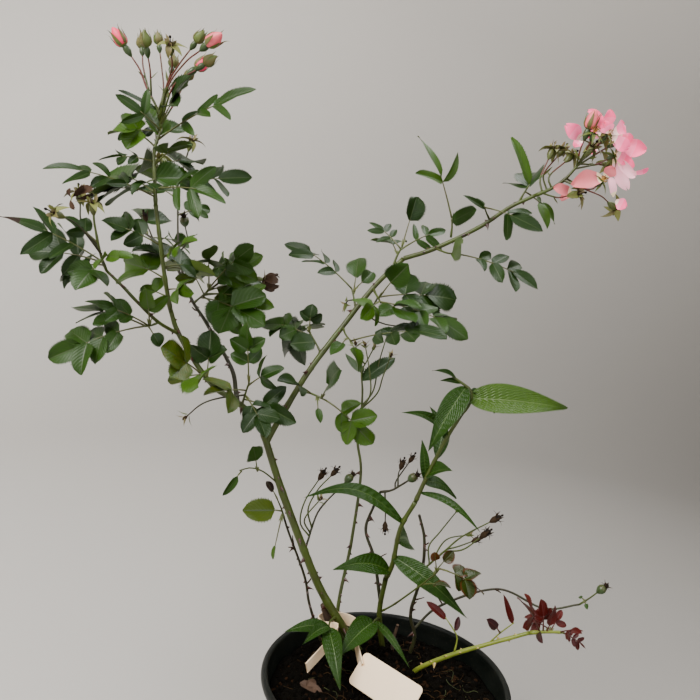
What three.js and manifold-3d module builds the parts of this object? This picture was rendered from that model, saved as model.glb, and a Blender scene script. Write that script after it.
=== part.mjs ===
// Rose bush in a nursery pot: limbs, masses of leaves, flowers and seed heads.
// Millimetres, +Z up. The origin is the centre of the pot's flat underside, and -Y is the front.
import * as THREE from "three";
import { mergeVertices } from "three/addons/utils/BufferGeometryUtils.js";
import Module from "manifold-3d";

const wasm = await Module();
wasm.setup();

const { Vector2, Vector3 } = THREE;
const UP = new Vector3(0, 0, 1);

// Driving sizes
const CLEAR = 0.3;
const POT = { height: 165, rim: 97, foot: 73, wall: 1.6, lip: 7, skirt: 15, ledge: 7, sides: 28 };
const SOIL = { drop: 14, mound: 7, spread: 34, crown: [-12, 52], lumps: 1.4 };
const DRAIN = { count: 6, radius: 5, ring: 58, sides: 6 };
const LIMB = { sides: 6, step: 24 };
const STEM = { sides: 4, step: 22 };
const THORN = { radius: 0.8, length: 3.4 };
const TWIG = { sides: 4, step: 24, base: 0.8, tip: 0.5 };
const LEAF = { bow: 0.12, stalk: 0.7, thick: 1.1, width: 0.48, spread: 1.02, face: 0.75 };
const LANCE = { width: 0.3, thick: 1.2, sink: 1, sag: 0.07 };
const FILL = { near: 44, far: 62 };

// Every route is given as it is seen from the front: [across, up, depth].
// Across and up lie on the upright plane through the pot's axis, and the point
// is then pushed back along the line of sight from this eye by its depth.
const EYE = new Vector3(-52, -531.5, 493.8);

function seen([across, up, depth]) {
  const sight = new Vector3(across, 0, up).sub(EYE);
  return sight.multiplyScalar(1 - depth / EYE.y).add(EYE);
}

// A small repeatable source of numbers between 0 and 1
function dice(seed) {
  let state = seed * 7919 + 1;
  return () => {
    state = (state * 16807) % 2147483647;
    return state / 2147483647;
  };
}

const vary = (roll, range) => (roll() - 0.5) * 2 * range;

// Solids from rings of points

function fromMesh(positions, triangles) {
  const mesh = new wasm.Mesh({
    numProp: 3,
    vertProperties: Float32Array.from(positions),
    triVerts: Uint32Array.from(triangles),
  });
  return new wasm.Manifold(mesh);
}

function fromGeometry(geometry) {
  geometry.deleteAttribute("normal");
  geometry.deleteAttribute("uv");
  const merged = mergeVertices(geometry, 1e-3);
  const index = merged.index.array;
  const kept = [];
  for (let i = 0; i < index.length; i += 3) {
    const [a, b, c] = [index[i], index[i + 1], index[i + 2]];
    if (a !== b && b !== c && c !== a) kept.push(a, b, c);
  }
  return fromMesh(merged.attributes.position.array, kept);
}

// Joins rings of equal count, in the direction of travel; a ring of one point is an apex.
function loft(rings) {
  const points = rings.flat();
  const starts = rings.map((_, i) => rings.slice(0, i).flat().length);
  const faces = [];
  for (let i = 0; i + 1 < rings.length; i++) {
    const [low, high] = [rings[i].length, rings[i + 1].length];
    const count = Math.max(low, high);
    for (let k = 0; k < count; k++) {
      const next = (k + 1) % count;
      const [a, b] = [starts[i] + (k % low), starts[i] + (next % low)];
      const [c, d] = [starts[i + 1] + (next % high), starts[i + 1] + (k % high)];
      if (a !== b) faces.push(a, b, c);
      if (c !== d) faces.push(a, c, d);
    }
  }
  const last = starts.at(-1);
  for (let k = 1; k + 1 < rings[0].length; k++) faces.push(0, k + 1, k);
  for (let k = 1; k + 1 < rings.at(-1).length; k++) faces.push(last, last + k, last + k + 1);
  return fromMesh(points.flatMap((p) => p.toArray()), faces);
}

function ring(centre, across, over, radius, sides, turn = 0) {
  return Array.from({ length: sides }, (_, k) => {
    const angle = turn + (k / sides) * 2 * Math.PI;
    return centre.clone()
      .addScaledVector(across, radius * Math.cos(angle))
      .addScaledVector(over, radius * Math.sin(angle));
  });
}

function curveOf(points) {
  return new THREE.CatmullRomCurve3(points, false, "catmullrom", 0.5);
}

// A tapering tube along a curve, grown by a clearance where a neighbour is cut with it.
// It may end in a head: rows of [distance, radius] beyond its tip, the last of them a point.
function stick({ curve, base, tip, sides, step, head = [] }, grow = 0) {
  const count = Math.max(2, Math.ceil(curve.getLength() / step));
  const frames = curve.computeFrenetFrames(count);
  const rings = [];
  for (let i = 0; i <= count; i++) {
    const part = i / count;
    const centre = curve.getPointAt(part);
    if (i === 0) centre.addScaledVector(frames.tangents[0], -grow);
    if (i === count && head.length === 0) centre.addScaledVector(frames.tangents[count], grow);
    const radius = base + (tip - base) * part + grow;
    rings.push(ring(centre, frames.normals[i], frames.binormals[i], radius, sides));
  }
  head.forEach(([distance, radius]) => {
    const spare = radius === 0 ? 1.5 * grow : 0;
    const centre = curve.getPointAt(1).addScaledVector(frames.tangents[count], distance + spare);
    const round = ring(centre, frames.normals[count], frames.binormals[count], radius + grow, sides);
    rings.push(radius === 0 ? [centre] : round);
  });
  return loft(rings);
}

// A point on the axis of that tube, where what grows from it has its root
function axisPoint(curve, part, step) {
  const count = Math.max(2, Math.ceil(curve.getLength() / step));
  const span = Math.min(count - 1, Math.floor(part * count));
  const [low, high] = [curve.getPointAt(span / count), curve.getPointAt((span + 1) / count)];
  return low.lerp(high, part * count - span);
}

// A direction's two upright neighbours: one level, one across both
function crossOf(direction) {
  const level = new Vector3().crossVectors(UP, direction);
  if (level.length() < 0.05) level.set(1, 0, 0);
  level.normalize();
  return [level, new Vector3().crossVectors(direction, level)];
}

// A thorn: a cone of three sides from a root inside its limb
function cone(root, direction, radius, length, grow = 0) {
  const [level, over] = crossOf(direction);
  const start = root.clone().addScaledVector(direction, -grow);
  const point = root.clone().addScaledVector(direction, length + 1.5 * grow);
  return loft([ring(start, level, over, radius + grow, 3), [point]]);
}

// A flat leaflet or petal: six points round its edge, one above and one below its midrib
function leaflet({ root, along, facing, length, width, fold = 0.06 }, grow = 0) {
  const side = new Vector3().crossVectors(facing, along).normalize();
  const reach = length + 2 * grow;
  const spot = (part, across, lift) => root.clone()
    .addScaledVector(along, part * reach - grow - 0.6)
    .addScaledVector(side, across * (width / 2 + grow))
    .addScaledVector(facing, lift);
  const rise = fold * length;
  const edge = [
    spot(0, 0, 0),
    spot(0.26, -0.86, rise),
    spot(0.66, -0.84, rise),
    spot(1, 0, -rise),
    spot(0.66, 0.84, rise),
    spot(0.26, 0.86, rise),
  ];
  const half = LEAF.thick / 2 + grow;
  return loft([[spot(0.2, 0, -half)], edge, [spot(0.34, 0, half)]]);
}

// A long simple leaf that sags towards its tip, as a blade of four sides
function lance({ root, along, facing, length, width, arch }, grow = 0) {
  const side = new Vector3().crossVectors(facing, along).normalize();
  const over = new Vector3().crossVectors(along, side);
  const widths = [[0.16, 0.62], [0.42, 1], [0.74, 0.62]];
  const middle = (part) => root.clone()
    .addScaledVector(along, part * (length + 2 * grow + LANCE.sink) - grow - LANCE.sink)
    .addScaledVector(UP, arch * length * Math.sin(Math.PI * part));
  const rings = widths.map(([part, share]) => {
    const half = share * width / 2 + grow;
    const centre = middle(part);
    const rise = 0.16 * half;
    return [
      centre.clone().addScaledVector(side, half).addScaledVector(over, rise),
      centre.clone().addScaledVector(over, LANCE.thick / 2 + grow),
      centre.clone().addScaledVector(side, -half).addScaledVector(over, rise),
      centre.clone().addScaledVector(over, -LANCE.thick / 2 - grow),
    ];
  });
  return loft([[middle(0)], ...rings, [middle(1)]]);
}

// A compound leaf on its arched midrib: a leaflet at the tip and pairs of them down its sides
function leafShape(base, { end, pairs = 2, broad = LEAF.width, face = LEAF.face, stalk = 0 }, roll) {
  const reach = base.distanceTo(end);
  const middle = base.clone().lerp(end, 0.5).addScaledVector(UP, LEAF.bow * reach);
  const rachis = new THREE.QuadraticBezierCurve3(base, middle, end);
  const share = [1 - stalk, 0.56, 0.43, 0.36][pairs];
  const spacing = [0, 0.26, 0.2, 0.165][pairs];
  const last = 1 - share;
  const tilt = face + vary(roll, 0.5);
  const leafletAt = (part, turn, size) => {
    const root = rachis.getPoint(part);
    const forward = rachis.getTangent(part);
    const facing = new Vector3(vary(roll, 0.35), -Math.sin(tilt), Math.cos(tilt));
    facing.addScaledVector(forward, -facing.dot(forward)).normalize();
    const along = forward.clone().applyAxisAngle(facing, turn);
    along.addScaledVector(facing, -0.12 + vary(roll, 0.16)).normalize();
    facing.addScaledVector(along, -facing.dot(along)).normalize();
    const length = size * share * reach;
    return { kind: "leaflet", part, root, along, facing, length, width: broad * length };
  };
  const terminal = leafletAt(last, vary(roll, 0.1), 1);
  if (last === 0) return terminal;
  const rows = [];
  for (let pair = 0; pair < pairs; pair++) {
    const part = last - 0.05 - pair * spacing;
    const size = 0.88 - 0.1 * pair + vary(roll, 0.06);
    const left = leafletAt(part, LEAF.spread + vary(roll, 0.15), size);
    const right = leafletAt(part, -LEAF.spread + vary(roll, 0.15), size);
    rows.unshift([right, left]);
  }
  return { kind: "leaf", rachis, terminal, rows };
}

// The same leaf as one closed blade: facets fan out from a ridge above and below the midrib
function leafBlade({ rachis, terminal, rows }, grow) {
  const points = [];
  const faces = [];
  const add = (point) => points.push(point) - 1;
  const onRachis = (part, across, lift) => {
    const side = new Vector3().crossVectors(terminal.facing, rachis.getTangent(part)).normalize();
    return add(rachis.getPoint(part).addScaledVector(side, across).addScaledVector(terminal.facing, lift));
  };
  const half = LEAF.thick / 2 + grow;
  const edge = LEAF.stalk + grow;
  const parts = [...rows.map(([right]) => right.part), terminal.part];
  const between = parts.slice(1).map((part, i) => (part + parts[i]) / 2);
  const ridges = [0, ...parts].map((part) => [onRachis(part, 0, half), onRachis(part, 0, -half)]);
  const gaps = [0, parts[0] - 0.05, ...between];
  const notches = gaps.map((part) => [-edge, edge].map((u) => onRachis(part, u, 0)));
  const spot = ({ root, along, facing, length, width }, part, across) => {
    const side = new Vector3().crossVectors(facing, along);
    return add(root.clone()
      .addScaledVector(along, part * (length + grow))
      .addScaledVector(side, across * (width / 2 + grow)));
  };
  const skins = ([top, under], rim, hand) => {
    const turned = hand === 1 ? rim.reverse() : rim;
    for (let i = 0; i + 1 < turned.length; i++) {
      faces.push(top, turned[i], turned[i + 1], under, turned[i + 1], turned[i]);
    }
  };
  const link = (k, hand) => {
    const [[top, under], [nextTop, nextUnder]] = [ridges[k], ridges[k + 1]];
    const side = notches[k + 1][hand];
    if (hand === 0) faces.push(top, side, nextTop, under, nextUnder, side);
    else faces.push(top, nextTop, side, under, side, nextUnder);
  };
  for (const hand of [0, 1]) {
    const out = hand === 0 ? -1 : 1;
    skins(ridges[0], [notches[0][hand], notches[1][hand]], hand);
    link(0, hand);
    rows.forEach((row, k) => {
      const rim = [spot(row[hand], 0.4, out), spot(row[hand], 1, 0), spot(row[hand], 0.56, -out)];
      skins(ridges[k + 1], [notches[k + 1][hand], ...rim, notches[k + 2][hand]], hand);
      link(k + 1, hand);
    });
  }
  const shoulder = (hand) => [spot(terminal, 0.28, hand), spot(terminal, 0.66, 0.86 * hand)];
  const rim = [notches.at(-1)[0], ...shoulder(-1), spot(terminal, 1, 0), ...shoulder(1).reverse()];
  skins(ridges.at(-1), [...rim, notches.at(-1)[1]], 0);
  const [[top, under], [right, left]] = [ridges[0], notches[0]];
  faces.push(left, right, top, left, under, right);
  return fromMesh(points.flatMap((point) => point.toArray()), faces);
}

function lanceShape(base, { end, broad = LANCE.width, face = LEAF.face, arch = LANCE.sag }, roll) {
  const along = end.clone().sub(base).normalize();
  const tilt = face + vary(roll, 0.2);
  const facing = new Vector3(0, -Math.sin(tilt), Math.cos(tilt));
  facing.addScaledVector(along, -facing.dot(along)).normalize();
  const length = base.distanceTo(end);
  return { kind: "lance", root: base, along, facing, length, width: broad * length, arch };
}

// What a twig ends in, as rows of [distance beyond its tip, radius]
const HEADS = {
  bud: [[4, 2.8], [12, 2.7], [17, 0]],
  hip: [[4, 3.5], [8, 2.6], [14, 0]],
  dead: [[3.5, 2.5], [9, 0]],
  speck: [[2, 1.6], [5, 0]],
};
const BLOOM = { petals: 5, length: 14, notch: 0.5, rise: 6, thick: 1.2 };

// Five petals in a shallow cup round the twig's end, as one star of facets
function bloomStar({ root, along }, grow) {
  const [level, over] = crossOf(along);
  const count = 2 * BLOOM.petals;
  const rim = Array.from({ length: count }, (_, k) => {
    const angle = (k / count) * 2 * Math.PI;
    const share = k % 2 ? BLOOM.notch : 1;
    return root.clone()
      .addScaledVector(level, (share * BLOOM.length + grow) * Math.cos(angle))
      .addScaledVector(over, (share * BLOOM.length + grow) * Math.sin(angle))
      .addScaledVector(along, share * BLOOM.rise);
  });
  const middle = (lift) => root.clone().addScaledVector(along, lift);
  return loft([[middle(-BLOOM.thick - grow)], rim, [middle(BLOOM.thick + grow)]]);
}

// Solids already placed, each grown by the clearance that later ones keep to it
const placed = [];

function boxesMeet(a, b) {
  return [0, 1, 2].every((k) => a.min[k] <= b.max[k] && b.min[k] <= a.max[k]);
}

function near(solid) {
  const box = solid.boundingBox();
  return placed.filter((other) => boxesMeet(box, other.box));
}

function touches(solid) {
  return near(solid).some((other) => !solid.intersect(other.grown).isEmpty());
}

function cutClear(solid) {
  const cut = near(solid).reduce((left, other) => left.subtract(other.grown), solid);
  const bodies = cut.decompose();
  return bodies.sort((a, b) => b.volume() - a.volume())[0];
}

function place(solid, grown) {
  placed.push({ grown, box: grown.boundingBox() });
  return solid;
}

const group = new THREE.Group();
const BARK = { green: 0x5c6b33, dark: 0x3f4226, young: 0x9aa54a, brown: 0x6a5138 };
const LEAVES = { rose: 0x3c5a30, lance: 0x53783f, red: 0x6b2f2a, bloom: 0xe39aa8, seed: 0x54492f };

function addNode(name, solid, colour, roughness = 0.7) {
  const mesh = solid.getMesh();
  const geometry = new THREE.BufferGeometry();
  geometry.setAttribute("position", new THREE.BufferAttribute(mesh.vertProperties, 3));
  geometry.setIndex(new THREE.BufferAttribute(mesh.triVerts, 1));
  geometry.computeVertexNormals();
  const material = new THREE.MeshStandardMaterial({ color: colour, roughness, metalness: 0 });
  const node = new THREE.Mesh(geometry, material);
  node.name = name;
  group.add(node);
}

// Pot, root ball and label

function turned(profile, sides) {
  const outline = profile.map(([radius, height]) => new Vector2(radius, height));
  return new THREE.LatheGeometry(outline, sides).rotateX(Math.PI / 2);
}

const wallTop = POT.height - POT.skirt;
const innerTop = POT.rim - POT.ledge;
const soilTop = POT.height - SOIL.drop;

function innerRadius(height) {
  return POT.foot - POT.wall + (innerTop - POT.foot + POT.wall) * (height / wallTop);
}

function makePot() {
  const { height, rim, foot, wall, lip } = POT;
  const profile = [
    [0, 0], [foot, 0], [innerTop + wall, wallTop], [rim - 2, height - lip], [rim, height - lip + 2],
    [rim - 1.5, height], [rim - 5, height], [innerTop, wallTop], [foot - wall, 2 * wall], [0, 2 * wall],
  ];
  let pot = fromGeometry(turned(profile, POT.sides));
  for (let k = 0; k < DRAIN.count; k++) {
    const angle = ((k + 0.5) / DRAIN.count) * 2 * Math.PI;
    const centre = new Vector3(DRAIN.ring * Math.cos(angle), DRAIN.ring * Math.sin(angle), -wall);
    const top = centre.clone().setZ(3 * wall);
    const [right, back] = [new Vector3(1, 0, 0), new Vector3(0, 1, 0)];
    const hole = [centre, top].map((at) => ring(at, right, back, DRAIN.radius, DRAIN.sides));
    pot = pot.subtract(loft(hole));
  }
  addNode("pot", place(pot, pot), 0x1d211f, 0.45);
}

function soilHeight(x, y) {
  const [crownX, crownY] = SOIL.crown;
  const away = Math.hypot(x - crownX, y - crownY) / SOIL.spread;
  const lumps = Math.sin(x * 0.21 + 1.3) * Math.cos(y * 0.17 - 0.6) + 0.6 * Math.sin(x * 0.09 - y * 0.13);
  return soilTop + SOIL.mound * Math.exp(-away * away) + SOIL.lumps * lumps;
}

function makeSoil() {
  const floor = 2 * POT.wall + CLEAR;
  const profile = [[0, floor], [innerRadius(floor) - 2 * CLEAR, floor]];
  const rings = 5;
  for (let k = rings; k >= 0; k--) {
    const radius = (k / rings) * (innerRadius(soilTop - 3) - 3 * CLEAR);
    profile.push([radius, soilTop]);
  }
  const heap = (raise) => {
    const geometry = turned(profile, POT.sides);
    const position = geometry.attributes.position;
    for (let i = 0; i < position.count; i++) {
      const [x, y] = [position.getX(i), position.getY(i)];
      if (position.getZ(i) > soilTop - 1) position.setZ(i, soilHeight(x, y) - 1.6 + raise);
    }
    return fromGeometry(geometry);
  };
  addNode("soil", place(heap(0), heap(CLEAR)), 0x3a2b20, 0.95);
}

// A strip of white card: a plate that leans on the soil and a band that loops round the stems' foot
const TAG = {
  corner: new Vector3(-16, 20, 170),
  long: new Vector3(0.77, -0.63, -0.07).normalize(),
  length: 58,
  width: 27,
  thick: 0.8,
  down: new Vector3(-0.46, -0.5, -0.72),
  loop: new Vector3(-40, 47.5, 175),
  wide: 17,
  deep: 12.5,
  band: 10,
};

function ribbonRing(centre, forward, broad, grow) {
  const thin = new Vector3().crossVectors(forward, broad).normalize();
  const across = new Vector3().crossVectors(thin, forward).normalize();
  const [half, flat] = [TAG.band / 2 + grow, TAG.thick / 2 + grow];
  const corners = [[1, 1], [-1, 1], [-1, -1], [1, -1]];
  return corners.map(([u, v]) => centre.clone()
    .addScaledVector(across, u * half)
    .addScaledVector(thin, v * flat));
}

function tagPlate(grow) {
  const { corner, long, length, width, thick, down } = TAG;
  const lower = down.clone().addScaledVector(long, -down.dot(long)).normalize();
  const thin = new Vector3().crossVectors(long, lower).normalize();
  const spot = (u, v, w) => corner.clone()
    .addScaledVector(long, u + (u > 0 ? grow : -grow))
    .addScaledVector(lower, v + (v > 0 ? grow : -grow))
    .addScaledVector(thin, w * (thick / 2 + grow));
  const cut = 5;
  const outline = [[cut, 0], [length, 0], [length, width], [cut, width], [0, width - cut], [0, cut]];
  return loft([-1, 1].map((w) => outline.map(([u, v]) => spot(u, v, w))));
}

function tagBand(grow) {
  const { loop, wide, deep, corner, long, width } = TAG;
  const points = [corner.clone().addScaledVector(long, 3).add(new Vector3(-5, -6, -9))];
  points.push(loop.clone().add(new Vector3(wide * 0.95, -deep * 1.5, -5)));
  const turns = 7;
  for (let k = 0; k <= turns; k++) {
    const angle = -0.5 + (k / turns) * 5.2;
    const around = new Vector3(wide * Math.cos(angle), deep * Math.sin(angle), -1.5 + k * 0.6);
    points.push(loop.clone().add(around));
  }
  points.push(loop.clone().add(new Vector3(-wide * 0.5, -deep * 2.0, -6)));
  points.push(loop.clone().add(new Vector3(-wide * 1.3, -deep * 3.5, -14.5)));
  const curve = curveOf(points);
  const count = 19;
  const rings = Array.from({ length: count + 1 }, (_, i) => {
    const part = i / count;
    return ribbonRing(curve.getPointAt(part), curve.getTangentAt(part), UP, grow);
  });
  return loft(rings);
}

function makeTag() {
  const solid = cutClear(tagPlate(0).add(tagBand(0)));
  addNode("label", place(solid, tagPlate(CLEAR).add(tagBand(CLEAR))), 0xe9e6de, 0.6);
}

// Limbs: each starts on the soil or on the limb that carries it
const LIMBS = [
  { name: "main_cane", girth: [3.7, 2.8], thorns: 8,
    way: [[-21, 178, 48], [-37, 200, 47], [-57, 229, 44], [-75, 265, 40], [-94, 307, 36], [-110, 347, 32]] },
  { name: "old_stub", girth: [3.8, 3.3], bark: BARK.brown,
    way: [[-40, 178, 57], [-46, 197, 54], [-53, 217, 51]] },
  { name: "left_bough", girth: [2.7, 2.3], thorns: 2,
    way: [[-110, 347, 32], [-116, 359, 30], [-125, 365, 27], [-134, 371, 25]] },
  { name: "right_bough", girth: [2.5, 1.9], thorns: 5,
    way: [[-107, 342, 33], [-100, 358, 34], [-81, 397, 40], [-59, 433, 52], [-39, 464, 60], [-20, 486, 62]] },
  { name: "right_bough_end", girth: [1.9, 1.4], thorns: 4,
    way: [[-20, 486, 62], [1, 495, 60], [31, 513, 52], [51, 529, 46], [68, 539, 42]] },
  { name: "left_leader", girth: [2.2, 1.7], thorns: 3,
    way: [[-134, 371, 25], [-149, 379, 20], [-166, 398, 14], [-179, 418, 10], [-185, 433, 6]] },
  { name: "second_leader", girth: [1.8, 1.2], thorns: 3, bark: BARK.dark,
    way: [[-131, 368.5, 26], [-133, 377, 31], [-138, 395, 40], [-159, 427, 66], [-170, 442, 76], [-184, 468, 92]] },
  { name: "left_side_shoot", girth: [1.4, 1], thorns: 2,
    way: [[-178, 416, 10], [-193, 423, -5], [-209, 436, -18], [-221, 447, -24], [-233, 457, -30]] },
  { name: "thin_cane", girth: [1.7, 1.1], thorns: 6,
    way: [[-30, 180, 63], [-42, 210, 66], [-37, 270, 84], [-35, 323, 100], [-40, 349, 108], [-39, 368, 114]] },
  { name: "left_side_stem", girth: [1.3, 0.9], thorns: 3, bark: BARK.dark,
    way: [[-50, 180, 65], [-64, 215, 60], [-70, 238, 56], [-85, 272, 50], [-89, 282, 48]] },
  { name: "lance_shoot", girth: [2.5, 2.1],
    way: [[-3, 178, 62], [-10, 214, 56], [-8, 243, 51]] },
  { name: "thorny_stem", girth: [1.5, 1.1], thorns: 6, bark: BARK.dark,
    way: [[-9.5, 220, 55], [-18, 257, 60], [-27, 280, 62], [-23, 299, 61], [-19, 311, 58]] },
  { name: "cross_stem", girth: [1.7, 1.1], thorns: 4, bark: BARK.dark,
    way: [[14, 172, 57], [19, 197, 54], [14, 217, 52], [19, 249, 46], [18, 277, 42], [12, 296, 40]] },
  { name: "low_right_shoot", girth: [1.1, 0.8], bark: BARK.dark,
    way: [[17, 203, 54], [36, 225, 58], [78, 243, 58], [115, 231, 50], [142, 237, 46]] },
  { name: "lime_shoot", girth: [2, 1.5], thorns: 3, bark: BARK.young,
    way: [[17, 163, 37], [27, 173, 28], [50, 186, 20], [73, 196, 14], [107, 210, 8]] },
  { name: "brown_stub", girth: [1.5, 1.2], bark: BARK.brown,
    way: [[3, 177, 58], [3, 192, 53], [5, 206, 49]] },
];

function thornSolids(curve, { girth: [base, tip], thorns = 0 }, roll, grow) {
  const solids = [];
  for (let k = 0; k < thorns; k++) {
    const part = 0.1 + 0.85 * ((k + 0.3 + 0.4 * roll()) / thorns);
    const radius = base + (tip - base) * part;
    const forward = curve.getTangentAt(part);
    const out = new Vector3(1, 0, 0).applyAxisAngle(UP, roll() * 2 * Math.PI);
    out.addScaledVector(forward, -out.dot(forward)).normalize();
    const root = curve.getPointAt(part).addScaledVector(out, 0.4 * radius);
    const aim = out.clone().addScaledVector(forward, -0.35).normalize();
    solids.push(cone(root, aim, THORN.radius, 0.6 * radius + THORN.length, grow));
  }
  return solids;
}

function makeLimb(limb, order) {
  const { name, girth: [base, tip], way, bark = BARK.green } = limb;
  const curve = curveOf(way.map(seen));
  const [solid, grown] = [0, CLEAR].map((grow) => {
    const body = stick({ curve, base, tip, ...LIMB }, grow);
    const thorns = thornSolids(curve, limb, dice(order), grow);
    return thorns.reduce((sum, thorn) => sum.add(thorn), body);
  });
  addNode(name, place(cutClear(solid), grown), bark);
}

// Masses: each grows on from its limb as one stem with twigs and leaves.
// A leaf or twig starts at a fraction of that stem, and a leaf ends at its tip.
// A leaf's row may give its leaflets' width for their length (broad), how far they
// turn to the front (face) and the bare share of a single leaf (stalk), and a long
// leaf's row how far it bows up (arch).
const leaf = (at, across, up, depth, pairs, more = {}) => ({ at, tip: [across, up, depth], pairs, ...more });
const blade = (at, across, up, depth, broad, { arch } = {}) => (
  { at, tip: [across, up, depth], broad, arch, simple: true }
);
const twig = (at, end, ...way) => ({ at, end, way });

const MASSES = [
  { name: "left_leader_leaves", girth: [1.7, 1.4], fill: 2,
    stem: [[-185, 433, 6], [-190, 454, 2], [-195, 480, -2], [-200, 507, -2]],
    leaves: [
      leaf(0.62, -238, 491, -14, 2, { broad: 0.6 }), leaf(0.42, -164, 466, 24, 1),
      leaf(0.5, -170, 484, -24, 2, { broad: 0.6 }), leaf(0.3, -222, 463, 30, 1),
      leaf(0.12, -209, 446, 18, 1), leaf(0.2, -170, 446, -16, 1),
    ] },
  { name: "left_upper_leaves", girth: [1.4, 1.1], fill: 2,
    stem: [[-200, 507, -2], [-202, 528, 0], [-203, 545, 4], [-199, 560, 8]],
    leaves: [
      leaf(0.1, -282, 527, -22, 3, { broad: 0.28 }), leaf(0.2, -133, 530, 16, 3, { broad: 0.4 }),
      leaf(0.14, -249, 511, 26, 2, { broad: 0.6 }), leaf(0.55, -243, 536, -12, 2, { broad: 0.4 }),
      leaf(0.5, -180, 554, -18, 1), leaf(0.74, -230, 561, 22, 2, { broad: 0.4 }),
      leaf(0.85, -136, 590, -18, 3, { broad: 0.26 }), leaf(0.95, -237, 553, -8, 1, { broad: 0.8 }),
      leaf(0.9, -212, 578, 20, 0, { broad: 0.55 }), leaf(0.2, -152, 517, -26, 2, { broad: 0.34 }),
      leaf(0.32, -217, 514, -24, 1), leaf(0.15, -239, 526, 40, 1, { broad: 0.85 }),
      leaf(0.97, -231, 579, -14, 1, { broad: 0.3 }), leaf(0.34, -172, 520, 20, 0, { broad: 0.6 }),
    ] },
  { name: "bud_cluster", girth: [1.1, 0.5], end: "bud",
    stem: [[-199, 560, 8], [-202, 572, 10], [-211, 587, 12], [-216, 598, 12], [-223, 607, 10]],
    twigs: [
      twig(0.52, "bud", [-214, 600, 18], [-215, 608, 21]),
      twig(0.45, "bud", [-209, 598, 6], [-211, 607, 2]),
      twig(0.2, "bud", [-199, 585, 16], [-201, 600, 20], [-203, 611, 21]),
      twig(0.22, "dead", [-197, 588, 12], [-194, 602, 2], [-195, 610, -4]),
      twig(0.16, "bud", [-198, 586, 22], [-195, 598, 30]),
      twig(0.12, "bud", [-197, 589, 0], [-190, 603, -8], [-182, 615, -12]),
      twig(0.1, "bud", [-196, 589, -10], [-185, 606, -20], [-175, 615, -29]),
      twig(0.06, "bud", [-195, 588, 12], [-183, 598, 16]),
      twig(0.05, "bud", [-192, 590, -2], [-177, 602, -3]),
      twig(0.04, "bud", [-192, 576, 20], [-185, 591, 30]),
    ],
    leaves: [leaf(0.05, -183, 595, -14, 1, { broad: 0.6 }), leaf(0.26, -231, 581, -8, 0, { broad: 0.2 })] },
  { name: "far_left_leaves", girth: [1, 0.7], end: "dead",
    stem: [[-233, 457, -30], [-238, 469, -33], [-243, 489, -36], [-244, 496, -38]],
    twigs: [
      twig(0.3, "dead", [-251, 484, -46], [-259, 490, -52], [-265, 492, -56]),
      twig(0.4, "dead", [-252, 488, -32], [-254, 503, -28]),
    ],
    leaves: [
      leaf(0.14, -310, 488, -58, 2, { broad: 0.3 }),
      leaf(0.1, -269, 450, -8, 2, { broad: 0.66, face: 1.1 }),
      leaf(0.2, -254, 440, -56, 1, { broad: 0.75, face: 1.2 }), leaf(0.25, -226, 466, -58, 1),
      leaf(0.14, -293, 464, -30, 2, { broad: 0.55 }), leaf(0.5, -265, 491, -40, 1, { broad: 0.6 }),
    ] },
  { name: "side_shoot_leaves", girth: [0.9, 0.6],
    stem: [[-193, 423, -5], [-199, 420, -12], [-204, 419, -18]],
    leaves: [
      leaf(1, -274, 384, -30, 3, { broad: 0.6 }), leaf(0.86, -257, 426, 2, 2),
      leaf(0.66, -246, 432, -44, 2), leaf(0.6, -203, 444, -34, 1),
      leaf(0.7, -191, 404, -12, 0, { broad: 0.75, face: 1.2, stalk: 0.4 }),
    ] },
  { name: "inner_seed_heads", girth: [1, 0.6], end: "dead", fill: 1,
    stem: [[-177, 457, 85], [-182, 480, 96], [-184, 504, 108], [-185, 521, 112], [-179, 547, 116]],
    twigs: [
      twig(0.7, "dead", [-190, 534, 124], [-194, 537, 128]),
      twig(0.2, "hip", [-176, 484, 84], [-178, 494, 78]),
    ],
    leaves: [leaf(0.5, -160, 508, 130, 2), leaf(0.62, -206, 520, 136, 1)] },
  { name: "second_leader_tip", girth: [1.2, 0.8], fill: 2,
    stem: [[-184, 468, 92], [-192, 476, 96], [-201, 483, 101], [-215, 491, 108]],
    twigs: [twig(0.55, "dead", [-205, 492, 100], [-206, 495, 98])],
    leaves: [] },
  { name: "left_middle_leaves", girth: [1, 0.7],
    stem: [[-168, 440, 74.5], [-164, 444, 66], [-158, 450, 58]],
    twigs: [twig(0.9, "dead", [-140, 464, 70], [-125, 462, 76])],
    leaves: [
      leaf(0.8, -129, 484, 50, 3, { broad: 0.6 }), leaf(0.95, -119, 458, 90, 2),
      leaf(0.74, -110, 442, 48, 3, { broad: 0.45 }), leaf(0.6, -132, 420, 56, 2, { broad: 0.7 }),
      leaf(1, -161, 484, 26, 2, { broad: 0.5 }), leaf(0.7, -178, 470, 62, 1),
      leaf(0.9, -121, 476, 70, 2, { broad: 0.6 }), leaf(0.6, -132, 447, 66, 1, { broad: 0.7 }),
      leaf(0.45, -118, 428, 24, 2, { broad: 0.65 }),
    ] },
  { name: "fork_left_leaves", girth: [0.9, 0.6],
    stem: [[-151, 380.5, 19.5], [-155, 384, 12], [-160, 388, 3]],
    leaves: [
      leaf(0.9, -184, 379, 8, 1, { broad: 0.6 }), leaf(0.95, -189, 401, -26, 1, { broad: 0.75 }),
      leaf(0.5, -154, 419, 14, 1, { broad: 0.8 }),
      leaf(1, -160, 375, -50, 0, { broad: 0.7, face: 1.2, stalk: 0.35 }),
    ] },
  { name: "fork_right_leaves", girth: [1, 0.6],
    stem: [[-128, 367, 26.5], [-126, 376, 19], [-124, 384, 13]],
    twigs: [twig(0.5, "speck", [-145, 371, 8], [-158, 365, 4], [-168, 355, 2])],
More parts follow.
